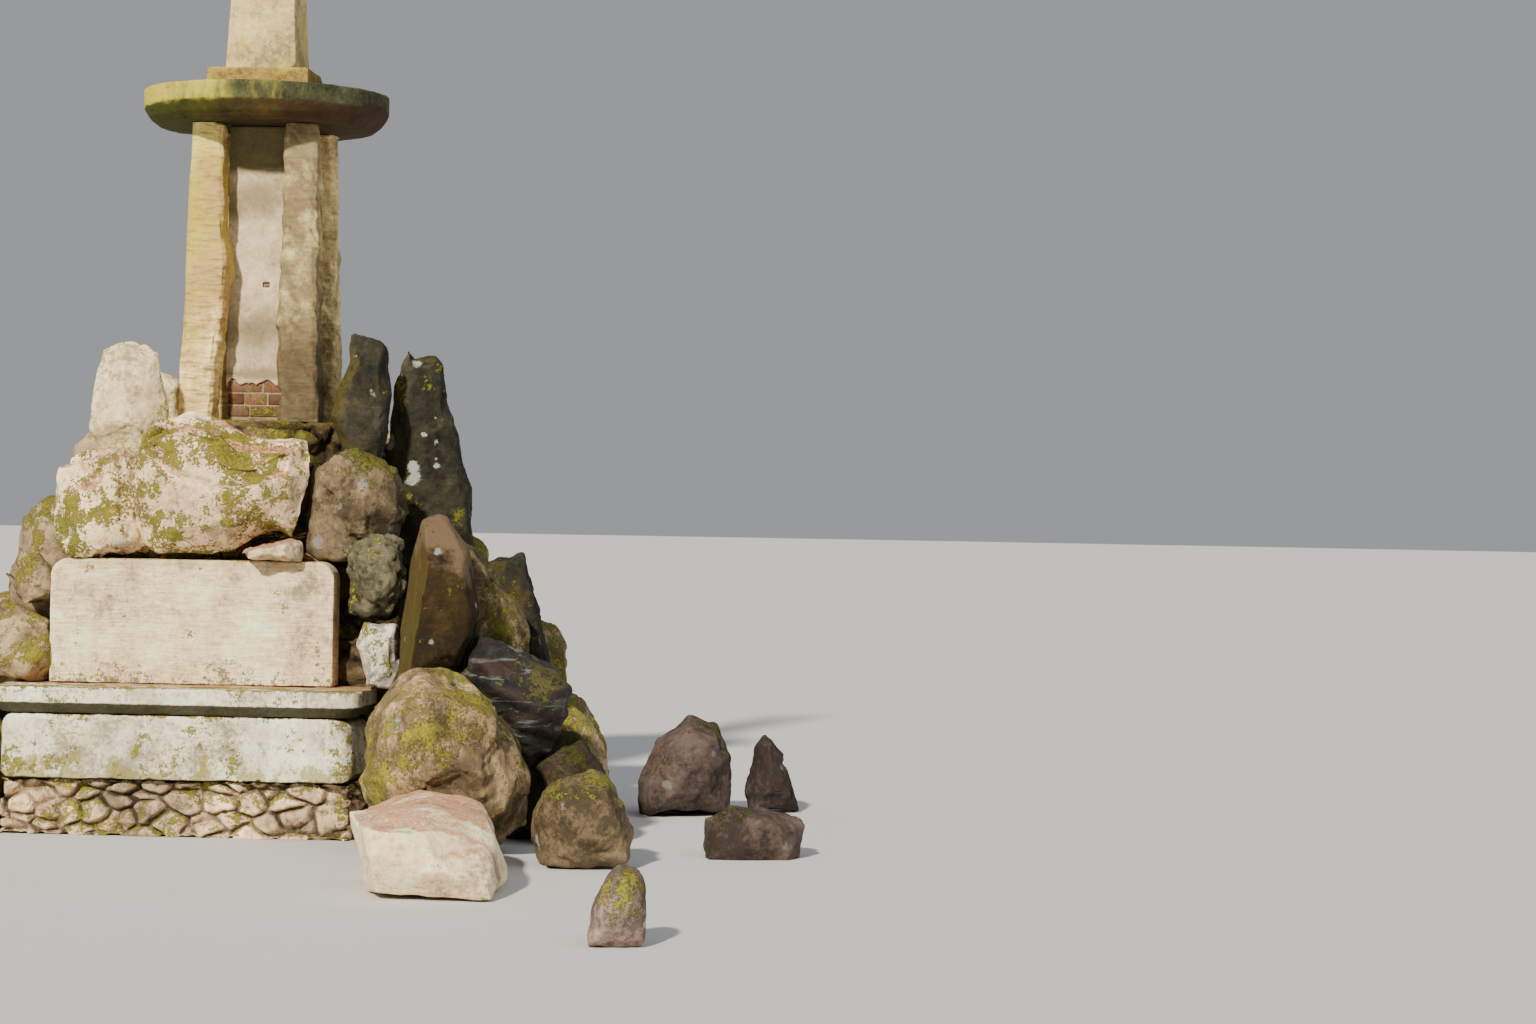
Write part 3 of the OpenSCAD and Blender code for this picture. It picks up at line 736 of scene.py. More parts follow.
class Finish:
    """Builds a material in layers, from the bare surface out to what grows and lies on it."""

    def __init__(self, name, roughness=0.9, specular=0.25):
        self.colours = settings().colours
        self.material = bpy.data.materials.new(name)
        self.material.use_nodes = True
        self.tree = self.material.node_tree
        self.shader = self.tree.nodes["Principled BSDF"]
        self.feed(self.shader, {"Roughness": roughness, "Specular IOR Level": specular})
        self.place = self.node("ShaderNodeTexCoord").outputs["Object"]
        self.x, self.y, self.z = self.parts_of(self.place)
        surface = self.node("ShaderNodeNewGeometry")
        self.right, _, self.up = self.parts_of(surface.outputs["Normal"])
        self.edge = surface.outputs["Pointiness"]
        self.tone = self.node("ShaderNodeAttribute", attribute_name="stone_tone").outputs["Fac"]
        self.base = None
        self.colour = None
        self.height = None

    def node(self, kind, **values):
        """A new node of that kind with its settings."""
        made = self.tree.nodes.new(kind)
        for key, value in values.items():
            setattr(made, key, value)
        return made

    def feed(self, node, values):
        """Links each of a node's inputs to a socket, or sets its value."""
        for key, value in values.items():
            socket = node.inputs[key]
            if isinstance(value, bpy.types.NodeSocket):
                self.tree.links.new(value, socket)
            elif socket.type == "RGBA" and len(value) == 3:
                socket.default_value = (*value, 1)
            else:
                socket.default_value = value
        return node

    def parts_of(self, vector):
        """The X, Y and Z of a vector."""
        return self.feed(self.node("ShaderNodeSeparateXYZ"), {0: vector}).outputs

    def maths(self, operation, first, second=0.0):
        made = self.node("ShaderNodeMath", operation=operation)
        return self.feed(made, {0: first, 1: second}).outputs[0]

    def times(self, first, second):
        """The product of two values."""
        return self.maths("MULTIPLY", first, second)

    def total(self, *terms):
        """The sum of values, each by itself or in a pair with its weight."""
        made = None
        for term in terms:
            value = self.times(*term) if isinstance(term, tuple) else term
            made = value if made is None else self.maths("ADD", made, value)
        return made

    def mask(self, low, high, *terms):
        """0 where the sum of the terms is below low, 1 above high."""
        made = self.node("ShaderNodeMapRange", interpolation_type="SMOOTHSTEP")
        self.feed(made, {"Value": self.total(*terms), "From Min": low, "From Max": high})
        return made.outputs["Result"]

    def shifted(self, stretch, seed, slant=0.0):
        """The place on the object, stretched, moved and slanted in the front plane by degrees."""
        made = self.feed(self.node("ShaderNodeMapping"), {
            "Vector": self.place,
            "Location": (seed * 1.7, seed * 2.3, seed * 0.9),
            "Rotation": (0, math.radians(slant), 0),
            "Scale": stretch,
        })
        return made.outputs[0]

    def noise(
        self, scale, detail=4, roughness=0.6, stretch=(1, 1, 1), seed=0, distortion=0.0, slant=0.0
    ):
        """Noise around 0.5 with that many lumps to the metre."""
        made = self.feed(self.node("ShaderNodeTexNoise"), {
            "Vector": self.shifted(stretch, seed, slant),
            "Scale": scale,
            "Detail": detail,
            "Roughness": roughness,
            "Distortion": distortion,
        })
        return made.outputs["Fac"]

    def cells(self, scale, seed, bend=0.18):
        """Voronoi cells, that many to the metre, with bent borders."""
        place = self.shifted((1, 1, 1), seed)
        wave = self.feed(self.node("ShaderNodeTexNoise"), {"Vector": place, "Scale": scale * 2})
        bent = self.node("ShaderNodeMixRGB", blend_type="LINEAR_LIGHT")
        self.feed(bent, {0: bend / scale, 1: place, 2: wave.outputs["Color"]})
        return self.feed(self.node("ShaderNodeTexVoronoi"), {"Vector": bent.outputs[0], "Scale": scale})

    def ramp(self, value, *stops):
        """Colours at places along a value."""
        made = self.feed(self.node("ShaderNodeValToRGB"), {0: value})
        elements = made.color_ramp.elements
        while len(elements) < len(stops):
            elements.new(0.5)
        for element, (place, colour) in zip(elements, stops):
            element.position = place
            element.color = (*colour, 1)
        return made.outputs[0]

    def mix(self, share, first, second, blend="MIX"):
        """Two colours mixed, the second laid over the first."""
        made = self.node("ShaderNodeMix", data_type="RGBA", blend_type=blend)
        return self.feed(made, {"Factor": share, 6: first, 7: second}).outputs[2]

    def by_value(self, colour, value):
        """A colour multiplied by a value."""
        grey = self.feed(self.node("ShaderNodeCombineColor"), {0: value, 1: value, 2: value})
        return self.mix(1.0, colour, grey.outputs[0], "MULTIPLY")

    def shade(self, value, weight=1.0, base=0.0):
        """Multiplies the colour by weight times the value, plus base."""
        self.colour = self.by_value(self.colour, self.total((value, weight), (1.0, base)))
        return self

    def lift(self, value, metres):
        """Raises the surface by a share of some metres."""
        self.height = self.total(self.height, (value, metres))

    def cover(self, mask, colour, rise=0.0):
        """Lays another colour over the mask, standing a little proud."""
        self.colour = self.mix(mask, self.colour, colour)
        if rise:
            self.lift(mask, rise)
        return self

    def film(self, colour, share, low, high, *terms, rise=0.0):
        """Covers that share where the sum of the terms goes from low to high."""
        return self.cover(self.times(self.mask(low, high, *terms), share), colour, rise)

    def stone(self, base, contrast, relief):
        """The bare stone: mottled at three scales and grained."""
        self.base = base = Vector(base)
        broad = self.noise(1.4, 3)
        middle = self.noise(7, 5, 0.65, seed=1)
        fine = self.noise(34, 5, 0.7, seed=2)
        grain = self.noise(110, 2, 0.7, seed=3)
        spread = 0.075 / contrast
        self.colour = self.ramp(
            self.total((broad, 0.4), (middle, 0.35), (fine, 0.25)),
            (0.5 - spread, base * 0.38),
            (0.5 - spread * 0.35, base * 0.75),
            (0.5 + spread * 0.3, base),
            (0.5 + spread, [min(0.88, channel * 1.32 + 0.01) for channel in base]),
        )
        self.shade(grain, 0.7, 0.65)
        depths = ((middle, 0.016 * relief), (fine, 0.008 * relief), (grain, 0.0018 * relief))
        self.height = self.total(*depths)

    def hollows(self, depth):
        """Darkens hollows with painted shade and lightens arrises with a painted highlight."""
        low = self.mask(0.45, 0.5, self.edge)
        high = self.mask(0.5, 0.55, self.edge)
        self.shade(self.total((low, depth), (high, 0.18), (1.0, 1.0 - depth)))

    def moss(self, amount, up=0.25, scale=3.2, light=1.0, dark=1.0, growth=("moss", "dark_moss")):
        """Speckled patches of moss, more of them on what looks up, from none at 0 to nearly all at 1."""
        light = Vector(getattr(self.colours, growth[0])) * light
        dark = Vector(getattr(self.colours, growth[1])) * dark
        broad = self.noise(scale, 3, 0.55, seed=5)
        middle = self.noise(scale * 4.5, 4, 0.65, seed=6)
        fine = self.noise(62, 3, 0.75, seed=7)
        limit = 2.25 + (0.5 - amount) * 1.3
        wanted = ((broad, 1.7), (middle, 1.5), (fine, 1.3), (self.up, up))
        mask = self.mask(limit - 0.06, limit + 0.07, *wanted)
        mottle = self.total((fine, 0.6), (middle, 0.4))
        colour = self.ramp(mottle, (0.40, dark), (0.50, dark.lerp(light, 0.65)), (0.60, light))
        self.cover(mask, colour, 0.004)
        self.lift(self.times(mask, fine), 0.008)
        return self

    def lichen(self, amount, scale=7, seed=9):
        """Round crusts of lichen, more of them as amount goes to 1."""
        crust = self.cells(scale, seed).outputs
        chance = self.parts_of(crust["Color"])[0]
        size = self.times(self.mask(1.0 - amount, 1.25, chance), 0.55)
        ragged = self.noise(55, 3, 0.7, seed=seed + 1)
        rim = (size, (crust["Distance"], -1.0), (ragged, 0.3))
        return self.film(self.colours.lichen, 0.7, 0.15, 0.25, *rim, rise=0.001)

    def streaks_and_shade(self, amount, colour, stretch=(7, 7, 0.8), seed=12, start=0.5):
        """Streaks down the sides: rain streaks on most stones, painted shade of trees on the mossy
        boulders.
        """
        streak = self.noise(1.0, 5, 0.65, stretch=stretch, seed=seed)
        return self.film(colour, amount, start, start + 0.16, streak)

    def spots(self, amount, colour, scale=22):
        """Small dark specks in patches."""
        speck = self.noise(scale, 4, 0.75, seed=14)
        patch = self.noise(2.2, 2, 0.5, seed=15)
        start = 0.91 - amount * 0.22
        return self.film(colour, 0.75, start, start + 0.05, speck, (patch, 0.5))

    def litter(self, low, high, where=1.0):
        """Fallen needles on what lies level: short strokes of red-brown and straw over a mask."""
        strokes = self.noise(70, 3, 0.8, stretch=(0.35, 1.6, 1), seed=17, distortion=0.6)
        across = self.noise(60, 3, 0.8, stretch=(1.5, 0.4, 1), seed=18, distortion=0.6)
        both = self.maths("MAXIMUM", strokes, across)
        brown = Vector(self.colours.litter)
        straw = brown.lerp(Vector((0.9, 0.75, 0.55)), 0.5)
        tones = self.ramp(both, (0.47, brown * 0.35), (0.57, brown), (0.72, straw))
        level = self.times(self.mask(low, high, self.up), where)
        return self.cover(self.times(level, self.mask(0.46, 0.54, both)), tones, 0.003)

    def done(self):
        """Shades each stone by its tone and links colour and relief, in metres, to the shader."""
        self.shade(self.maths("MAXIMUM", self.total((self.tone, 0.22), (1.0, 1.0)), 0.15))
        bump = self.feed(self.node("ShaderNodeBump"), {
            "Strength": 1.0,
            "Distance": 1.0,
            "Height": self.height,
        })
        self.feed(self.shader, {"Base Color": self.colour, "Normal": bump.outputs[0]})
        return self.material


FINISHES = {}


def finish_on(contrast=1.0, relief=1.0, hollows=0.5, colour=None, **shine):
    """Keeps a function as the finish of its own name, on bare stone of a colour in the settings."""

    def keep(dress):
        name = dress.__name__
        FINISHES[name] = (dress, colour or name, contrast, relief, hollows, shine)
        return dress

    return keep


@cache
def finish_of(name):
    """The material of that name, made when it is first asked for."""
    dress, colour, contrast, relief, hollows, shine = FINISHES[name]
    finish = Finish(name, **shine)
    finish.stone(getattr(finish.colours, colour), contrast, relief)
    finish.hollows(hollows)
    dress(finish)
    return finish.done()


@finish_on(0.8, hollows=0.45)
def pink_stone(finish):
    finish.moss(0.48, up=0.0, scale=2.6, light=0.75).lichen(0.25)
    finish.litter(0.42, 0.65, finish.mask(0.46, 0.55, finish.noise(4.2, 4, seed=21)))


@finish_on(0.8, hollows=0.35)
def pale_stone(finish):
    finish.moss(0.22, up=0.1, growth=("algae", "moss")).lichen(0.2).spots(0.2, finish.base * 0.35)


@finish_on(1.1)
def dark_stone(finish):
    # The weather side, to the left, is browner and mossier
    patch = finish.noise(6, 4, 0.65, seed=15)
    finish.film(linear(88, 78, 34), 0.7, 0.75, 1.3, (finish.right, -0.6), (patch, 1.6))
    finish.moss(0.26, up=0.1, light=0.45, dark=0.7).lichen(0.45, 6).lichen(0.25, 14, 61)


@finish_on(1.1)
def ochre_stone(finish):
    finish.streaks_and_shade(0.5, finish.base * 0.35, start=0.45)
    patch = finish.noise(5, 4, 0.65, seed=15)
    finish.film(linear(104, 90, 34), 0.6, 0.7, 1.1, (finish.right, -1.0), patch)
    # Worn to grey at its top
    patch = finish.noise(3, 5, 0.65, seed=19)
    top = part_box("pointed_boulder")[1].z
    finish.film(finish.colours.grey_pillar, 0.85, top + 0.12, top + 0.28, finish.z, patch)
    finish.lichen(0.35, 9).moss(0.2, up=0.0, light=0.5)


@finish_on(1.3)
def olive_stone(finish):
    finish.lichen(0.35, 5).moss(0.42, up=0.1, scale=2.2)
    # Darker down to the right, where it turns from the light
    patch = finish.noise(3, 3, seed=62)
    turned = finish.mask(1.2, 1.8, finish.x, (finish.z, -0.45), (patch, 0.5))
    finish.shade(turned, -0.45, 1.0)
    # Painted shade: dark streaks and patches for the shadows of trees
    finish.streaks_and_shade(0.75, finish.base * 0.16, (3.6, 3.6, 0.8), start=0.43)


@finish_on(1.3, hollows=0.6, roughness=0.7, specular=0.4)
def slate_stone(finish):
    bands = finish.noise(1.0, 5, stretch=(2.5, 3, 18), seed=23, distortion=0.4, slant=32)
    finish.film(linear(150, 156, 156), 0.7, 0.53, 0.6, bands)
    rust = finish.noise(1.0, 4, stretch=(2, 2, 9), seed=25, slant=32)
    finish.film(linear(78, 48, 36), 0.5, 0.5, 0.6, rust)
    finish.moss(0.22, light=0.5)


@finish_on(0.8)
def marble_stone(finish):
    veins = finish.noise(6, 5, seed=27, distortion=1.5)
    finish.film(linear(118, 122, 116), 0.8, 0.5, 0.57, veins)
    finish.film(linear(176, 134, 84), 0.8, 0.62, 0.68, veins)
    finish.moss(0.3, up=0.1)


@finish_on(1.4, 1.6, 0.7)
def grey_stone(finish):
    finish.moss(0.25).lichen(0.35, 9)


@finish_on(1.4)
def red_stone(finish):
    finish.lichen(0.4, 5).moss(0.34, up=0.3, scale=2.4, light=0.7)


@finish_on(hollows=0.35)
def beige_stone(finish):
    finish.lichen(0.2).spots(0.15, finish.colours.field_stone).moss(0.12, up=0.0)
    finish.litter(0.72, 0.9, finish.mask(0.40, 0.46, finish.noise(3.4, 5, 0.65, seed=31)))


@finish_on(1.2)
def purple_stone(finish):
    finish.streaks_and_shade(0.4, finish.base * 0.3, (4, 4, 0.9)).lichen(0.3)
    finish.moss(0.22, up=0.2, scale=2.4, light=0.7)


@finish_on(1.3)
def field_stone(finish):
    finish.streaks_and_shade(0.4, finish.base * 0.3, (4, 4, 0.9)).lichen(0.35).moss(0.36, up=0.3, light=0.85)


@finish_on(1.1, hollows=0.7)
def footing_stone(finish):
    finish.moss(0.36, up=0.2, scale=4.5)


@finish_on(1.3, 1.5, 0.6, "rubble")
def earth_bed(finish):
    finish.moss(0.5).litter(0.3, 0.6)


@finish_on(1.3, 1.5, 0.6, "rubble")
def rubble_fill(finish):
    finish.moss(0.34, light=0.7)


@finish_on(0.8, 0.6, 0.35)
def shaft_stone(finish):
    finish.streaks_and_shade(0.45, finish.base * 0.6, (9, 9, 0.7))
    # A yellow-green film that is thickest along the upright arrises
    arris = finish.mask(0.5, 0.56, finish.edge)
    patch = finish.noise(5, 4, 0.65, seed=32)
    finish.film(finish.colours.algae, 0.5, 0.86, 1.12, (patch, 1.6), (arris, 0.25))
    # The dark joint at its foot
    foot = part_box("shaft")[0].z
    wave = finish.noise(7, 3, seed=39)
    finish.film(finish.colours.rubble, 0.8, 0.008 - foot, 0.014 - foot, (finish.z, -1.0), (wave, 0.03))
    finish.spots(0.2, finish.base * 0.4)


@finish_on(1.2, 0.8, 0.4)
def plinth_stone(finish):
    finish.film(finish.colours.algae, 0.5, 0.5, 0.66, finish.noise(5, 4, 0.65, seed=32))
    finish.spots(0.3, finish.base * 0.4, 34)


@finish_on(1.0, 0.8, 0.4, "slab_stone")
def table_stone(finish):
    patch = finish.noise(4.5, 5, 0.7, stretch=(1, 1, 0.35), seed=33)
    finish.film(finish.colours.algae, 0.9, 0.54, 1.0, (patch, 1.3), (finish.x, -0.5))
    finish.shade(finish.noise(48, 4, 0.8, seed=34), 1.2, 0.4)
    # Painted shade under the rim: the underside painted dark, green moss to the left and brown to the
    # right
    under = finish.mix(finish.mask(-0.5, 0.35, finish.x), linear(34, 42, 2), linear(66, 46, 26))
    under = finish.by_value(under, finish.times(finish.noise(9, 5, 0.7, seed=46), 2.0))
    finish.film(under, 0.92, 0.2, 0.45, (finish.up, -1.0)).lichen(0.12, 20)


@finish_on(0.9, 0.9)
def pillar_stone(finish):
    # The right pillars are cooler, greyer towards their feet and smoother
    right = finish.mask(-0.1, 0.25, finish.x)
    finish.colour = finish.mix(right, finish.colour, (0.80, 0.88, 1.0), "MULTIPLY")
    low_part = finish.times(right, finish.mask(-3.2, -2.7, (finish.z, -1.0)))
    grey = finish.noise(3.0, 5, 0.65, seed=37)
    wanted = ((grey, 2.2), (finish.tone, -0.22), (low_part, 0.3))
    finish.film(finish.colours.grey_pillar, 0.75, 1.08, 1.35, *wanted)
    marks = finish.noise(1.0, 1.5, 0.5, stretch=(8, 8, 30), seed=35, slant=-14)
    finish.shade(marks, 0.9, 0.55).shade(low_part, -0.5, 1.0)
    finish.lift(marks, finish.total((right, -0.014), (1.0, 0.025)))
    # A browner band half way up
    below = finish.mask(-3.9, -3.55, (finish.z, -1.0), (finish.noise(3, 3, seed=63), 0.7))
    above = finish.mask(3.25, 3.6, finish.z, (finish.noise(3, 3, seed=64), 0.7))
    left = finish.total((right, -0.75), (1.0, 0.75))
    finish.cover(finish.times(finish.times(below, above), left), linear(150, 118, 66))
    finish.streaks_and_shade(0.35, linear(146, 108, 78), (8, 8, 1.4), 36)
    wanted = ((finish.x, -0.5), (finish.z, 0.12), (finish.noise(4, 5, 0.65, seed=44), 1.6))
    finish.film(finish.colours.algae, 0.55, 1.28, 1.6, *wanted).lichen(0.16, 4)


@finish_on(0.7, 0.35, 0.3, "render")
def lime_render(finish):
    # Dirty bands at these heights, each with how far it reaches up and down
    for level, reach in ((3.84, 0.20), (3.03, 0.22), (2.75, 0.06)):
        away = finish.maths("ABSOLUTE", finish.maths("SUBTRACT", finish.z, level))
        patch = finish.noise(4, 3, seed=int(level * 10), slant=35)
        finish.film(linear(112, 98, 66), 0.7, 0.2, 1.3, (away, -1.0 / reach), (patch, 2.4))
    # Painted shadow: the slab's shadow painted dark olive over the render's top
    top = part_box("pier_render")[1].z
    wave = finish.noise(3, 3, seed=38)
    finish.film(linear(70, 66, 24), 0.8, top - 0.27, top - 0.20, finish.z, (wave, 0.08))
    finish.spots(0.1, finish.colours.brick)


@finish_on(1.1, 0.6, 0.4, "brick")
def brick_clay(finish):
    soot = finish.noise(9, 4, 0.7, seed=41)
    finish.film(linear(112, 92, 72), 0.65, 0.42, 0.58, soot).moss(0.25, up=0.1)


@finish_on(1.0, 0.8, 0.4, "mortar")
def lime_mortar(finish):
    """Bare mortar needs no more than its stone."""


@finish_on(1.0, 0.9, 0.35)
def bench_stone(finish):
    dark_moss = Vector(finish.colours.dark_moss)
    finish.streaks_and_shade(0.35, linear(180, 168, 130), (5, 5, 0.8), 43)
    drips = finish.noise(1.0, 3, stretch=(11, 11, 0.5), seed=48)
    finish.film(linear(242, 236, 216), 0.6, 0.6, 0.68, drips)
    finish.spots(0.3, linear(146, 136, 104), 40)
    # Damp green patches that climb the block's foot
    damp = dark_moss.lerp(Vector(finish.colours.algae), 0.4)
    patch = finish.noise(5, 6, 0.75, seed=45)
    limit = 1.0 - 1.6 * (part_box("bench_block")[0].z + 0.10)
    finish.film(damp, 0.7, limit, limit + 0.1, (finish.z, -1.6), (patch, 2.0), rise=0.002)
    # The shaded underside, and needles along the backrest's foot
    finish.film(dark_moss * 0.45, 0.95, 0.1, 0.4, (finish.up, -1.0))
    finish.moss(0.26, up=0.3, scale=4)
    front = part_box("bench_backrest")[0].y
    wave = finish.noise(9, 3, seed=47)
    finish.litter(0.5, 0.8, finish.mask(front - 0.16, front + 0.02, finish.y, (wave, 0.16)))


@finish_on(0.8, 0.5, 0.3)
def backrest_stone(finish):
    lines = finish.noise(1.0, 4, 0.75, stretch=(7, 7, 58), seed=49)
    finish.shade(lines, 1.3, 0.35)
    finish.lift(lines, 0.010)
    low, high = (corner.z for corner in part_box("bench_backrest"))
    # Grime along the top and specks of moss along the foot
    wave = finish.noise(5, 5, 0.7, seed=50)
    finish.film(linear(168, 146, 108), 0.5, high + 0.04, high + 0.17, finish.z, (wave, 0.3))
    wanted = (
        (finish.z, -0.9),
        finish.noise(34, 4, 0.8, seed=51),
        (finish.noise(3.5, 3, 0.5, seed=52), 0.5),
    )
    limit = 0.755 - 0.9 * low
    finish.film(Vector(finish.colours.dark_moss) * 1.2, 0.75, limit - 0.02, limit + 0.04, *wanted)
    finish.moss(0.12, up=0.3, scale=5)


# Operators


class PieceOperator:
    """What the operators share: it makes the rough and the worked stones that a class names."""

    bl_options = {"REGISTER", "UNDO"}
    boulders = ()
    dressed = ()

    def execute(self, context):
        order = list(BOULDERS)
        for node in self.boulders:
            make_boulders(node, order.index(node) + 1)
        for node in self.dressed:
            make_dressed(node, DRESSED[node])
        return {"FINISHED"}


class OBELISK_OT_crown(PieceOperator, bpy.types.Operator):
    """Make the boulders over the bench's backrest"""

    bl_idname = "obelisk.crown"
    bl_label = "Crown boulders"
    boulders = ("crown_boulder", "wedge_stone", "left_shoulder_boulder", "right_shoulder_boulder")


class OBELISK_OT_standing(PieceOperator, bpy.types.Operator):
    """Make the stones that stand round the pillars"""

    bl_idname = "obelisk.standing"
    bl_label = "Standing stones"
    boulders = (
        "standing_stone_left", "standing_stone_left_rear",
        "standing_stone_right", "standing_stone_right_rear",
    )


class OBELISK_OT_flank(PieceOperator, bpy.types.Operator):
    """Make the boulders down the right side of the mound"""

    bl_idname = "obelisk.flank"
    bl_label = "Flank boulders"
    boulders = (
        "pointed_boulder", "grey_rubble_stone", "marbled_stone", "flank_boulder",
        "far_flank_boulder", "layered_boulder",
    )


class OBELISK_OT_ground(PieceOperator, bpy.types.Operator):
    """Make the boulders that stand on the ground at the right"""

    bl_idname = "obelisk.ground"
    bl_label = "Ground boulders"
    boulders = (
        "large_mossy_boulder", "reddish_boulder", "lower_right_boulder", "flat_front_boulder",
        "outlying_stones",
    )


class OBELISK_OT_rear(PieceOperator, bpy.types.Operator):
    """Make the boulders at the left and the back"""

    bl_idname = "obelisk.rear"
    bl_label = "Left and rear boulders"
    boulders = (
        "bench_left_boulders", "back_boulders_low", "left_boulders_low", "back_boulders_middle",
        "left_boulders_middle", "back_boulders_high", "back_boulders_top",
    )


class OBELISK_OT_footing(PieceOperator, bpy.types.Operator):
    """Make the rough stones under the bench"""

    bl_idname = "obelisk.footing"
    bl_label = "Bench footing stones"

    def execute(self, context):
        sizes = settings().boulders
        low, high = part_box("bench_footing_stones")
        packed_piece(
            "bench_footing_rubble", "bench_footing_stones", block(low, high), sizes.small_voxel,
            sizes.footing_stone, sizes.footing_depth, 30000, "boulder_stone", "footing_stone",
        )
        return {"FINISHED"}


class OBELISK_OT_rubble(PieceOperator, bpy.types.Operator):
    """Make the rubble core of the mound and the bed of earth under its crown boulder"""

    bl_idname = "obelisk.rubble"
    bl_label = "Rubble core"

    def execute(self, context):
        sizes = settings().boulders
        packed_piece(
            "rubble_core_fill", "rubble_core", merged_copy("rubble_core"), sizes.core_voxel,
            sizes.cobble, sizes.cobble_depth, 44000, "rubble_fill", "rubble_fill",
        )
        # The bed lies on the backrest, inside its ends, and reaches back under the crown boulder
        back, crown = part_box("bench_backrest"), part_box("crown_boulder")
        low = Vector((back[0].x + 0.10, back[1].y - 0.02, back[1].z - 0.08))
        high = Vector((back[1].x - 0.06, crown[1].y - 0.15, back[1].z + 0.17))
        packed_piece(
            "crown_bed", "rubble_core", block(low, high), sizes.voxel, sizes.footing_stone,
            sizes.footing_depth, 14000, "rubble_fill", "earth_bed",
        )
        return {"FINISHED"}


# How light each pillar is and how clearly its tool marks show; the back right pillar's high tone is
# painted light, for the sun falling on it
PILLARS = {
    "pillar_front_left": (0.7, 1.0),
    "pillar_front_right": (-1.0, 0.2),
    "pillar_back_left": (-0.3, 0.8),
    "pillar_back_right": (2.0, 0.4),
}


def hewn_face(sizes, number, inward, tooled):
    """The height of a pillar's faces: tool marks or slanted lumps, and a broken inner side."""
    shift = Vector((number * 7.3, number * 3.1, number * 5.9))

    def height(point, normal):
        at = point + shift
        flat = 1 - smooth(0.6, 0.9, abs(normal.z))
        broken = smooth(0.3, 0.8, normal.x * inward)
        outer = 1 - 0.8 * smooth(0.3, 0.8, -normal.x * inward)
        stroke = Vector((at.x, at.y, at.z * 3.2 + 0.9 * (at.x + at.y)))
        cuts = rough_noise(stroke, sizes.tool_pitch * 3.2, 2)
        shown = smooth(-0.5, 0.2, rough_noise(at, 0.5, 2))
        made = sizes.tool_depth * tooled * cuts * (0.5 + 0.5 * shown) * (1 - broken) * outer
        made += 0.006 * rough_noise(at, 0.35)
        slanted = Vector((at.x, at.y, at.z * 1.2 + 1.1 * (at.x + at.y)))
        lumps = 0.014 * broken_face(slanted, 0.13) + 0.018 * rough_noise(slanted, 0.22, 3)
        made += (1 - tooled) * lumps * (1 - broken)
        made += broken * (0.012 * broken_face(at, 0.14) + 0.008 * rough_noise(at, 0.22, 3))
        return (made - 0.005) * flat

    return height


class OBELISK_OT_pillars(PieceOperator, bpy.types.Operator):
    """Make the four rough-hewn pillars"""

    bl_idname = "obelisk.pillars"
    bl_label = "Pillars"

    def execute(self, context):
        for number, (node, (tone, tooled)) in enumerate(PILLARS.items()):
            inward = -1 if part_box(node)[0].x > 0 else 1
            face = hewn_face(settings().dressed, number, inward, tooled)
            make_dressed(node, DRESSED["pillar"], height=face, tone=tone)
        return {"FINISHED"}


def add_brick(bm, place, size, rng, layer):
    """Adds one brick with rounded arrises, its tone on its vertices."""
    bevel = 0.005
    edges = list({e for v in add_block(bm, place, size) for e in v.link_edges})
    done = bmesh.ops.bevel(
        bm, geom=edges, offset=bevel, segments=1, profile=0.5, affect="EDGES", material=-1
    )
    tone = rng.uniform(-2, 1)
    shake = Vector((rng.uniform(-1, 1), rng.uniform(-1, 1), 0)) * bevel * 0.5
    for vert in {v for f in done["faces"] for v in f.verts}:
        vert[layer] = tone
        vert.co += shake


class OBELISK_OT_brick_pier(PieceOperator, bpy.types.Operator):
    """Make the brick pier: courses of bricks round a mortar core"""

    bl_idname = "obelisk.brick_pier"
    bl_label = "Brick pier"

    def execute(self, context):
        sizes = settings().pier
        low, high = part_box("brick_pier")
        half = high.x
        # The mortar lies a little behind the bricks' faces
        recess = Vector((0.006, 0.006, 0))
        core = mesh_of(block(low + recess, high - recess))
        mortar = evaluated(core, "BEVEL", width=0.004, segments=2)
        piece("pier_mortar", mortar, "brick_pier", "brick", "lime_mortar")

        bm = bmesh.new()
        layer = bm.verts.layers.float.new("stone_tone")
        rng = random.Random(BRICK_SEED)
        pitch = sizes.brick_height + sizes.joint
        courses = int((high.z - low.z) / pitch)
        start = high.z - courses * pitch
        for course in range(courses):
            z = start + (course + 0.5) * pitch
            # Each course: two whole sides of a brick and a short one, closed by one between them
            for side in range(4):
                turned = side % 2
                if turned == course % 2:
                    lengths = [sizes.brick_length, 2 * half - sizes.brick_length - sizes.joint]
                    along = -half
                else:
                    lengths = [2 * (half - sizes.brick_width - sizes.joint)]
                    along = -lengths[0] / 2
                if course % 4 > 1:
                    lengths.reverse()
                for length in lengths:
                    centre = Vector((along + length / 2, half - sizes.brick_width / 2, z))
                    along += length + sizes.joint
                    size = [length, sizes.brick_width, sizes.brick_height]
                    if turned:
                        size[:2] = size[1::-1]
                    turn = Matrix.Rotation(math.radians(90) * side, 4, "Z")
                    add_brick(bm, turn @ centre, size, rng, layer)
        piece("pier_bricks", mesh_of(bm, "pier_bricks"), "brick_pier", "brick", "brick_clay")
        return {"FINISHED"}


def long_edges(bm, shortest, upright):
    """The upright or level edges of a bmesh that are longer than `shortest`."""
    found = []
    for edge in bm.edges:
        rise = abs(edge.verts[0].co.z - edge.verts[1].co.z)
        length = rise if upright else edge.calc_length()
        if length > shortest and (upright or rise < 0.001):
            found.append(edge)
    return found


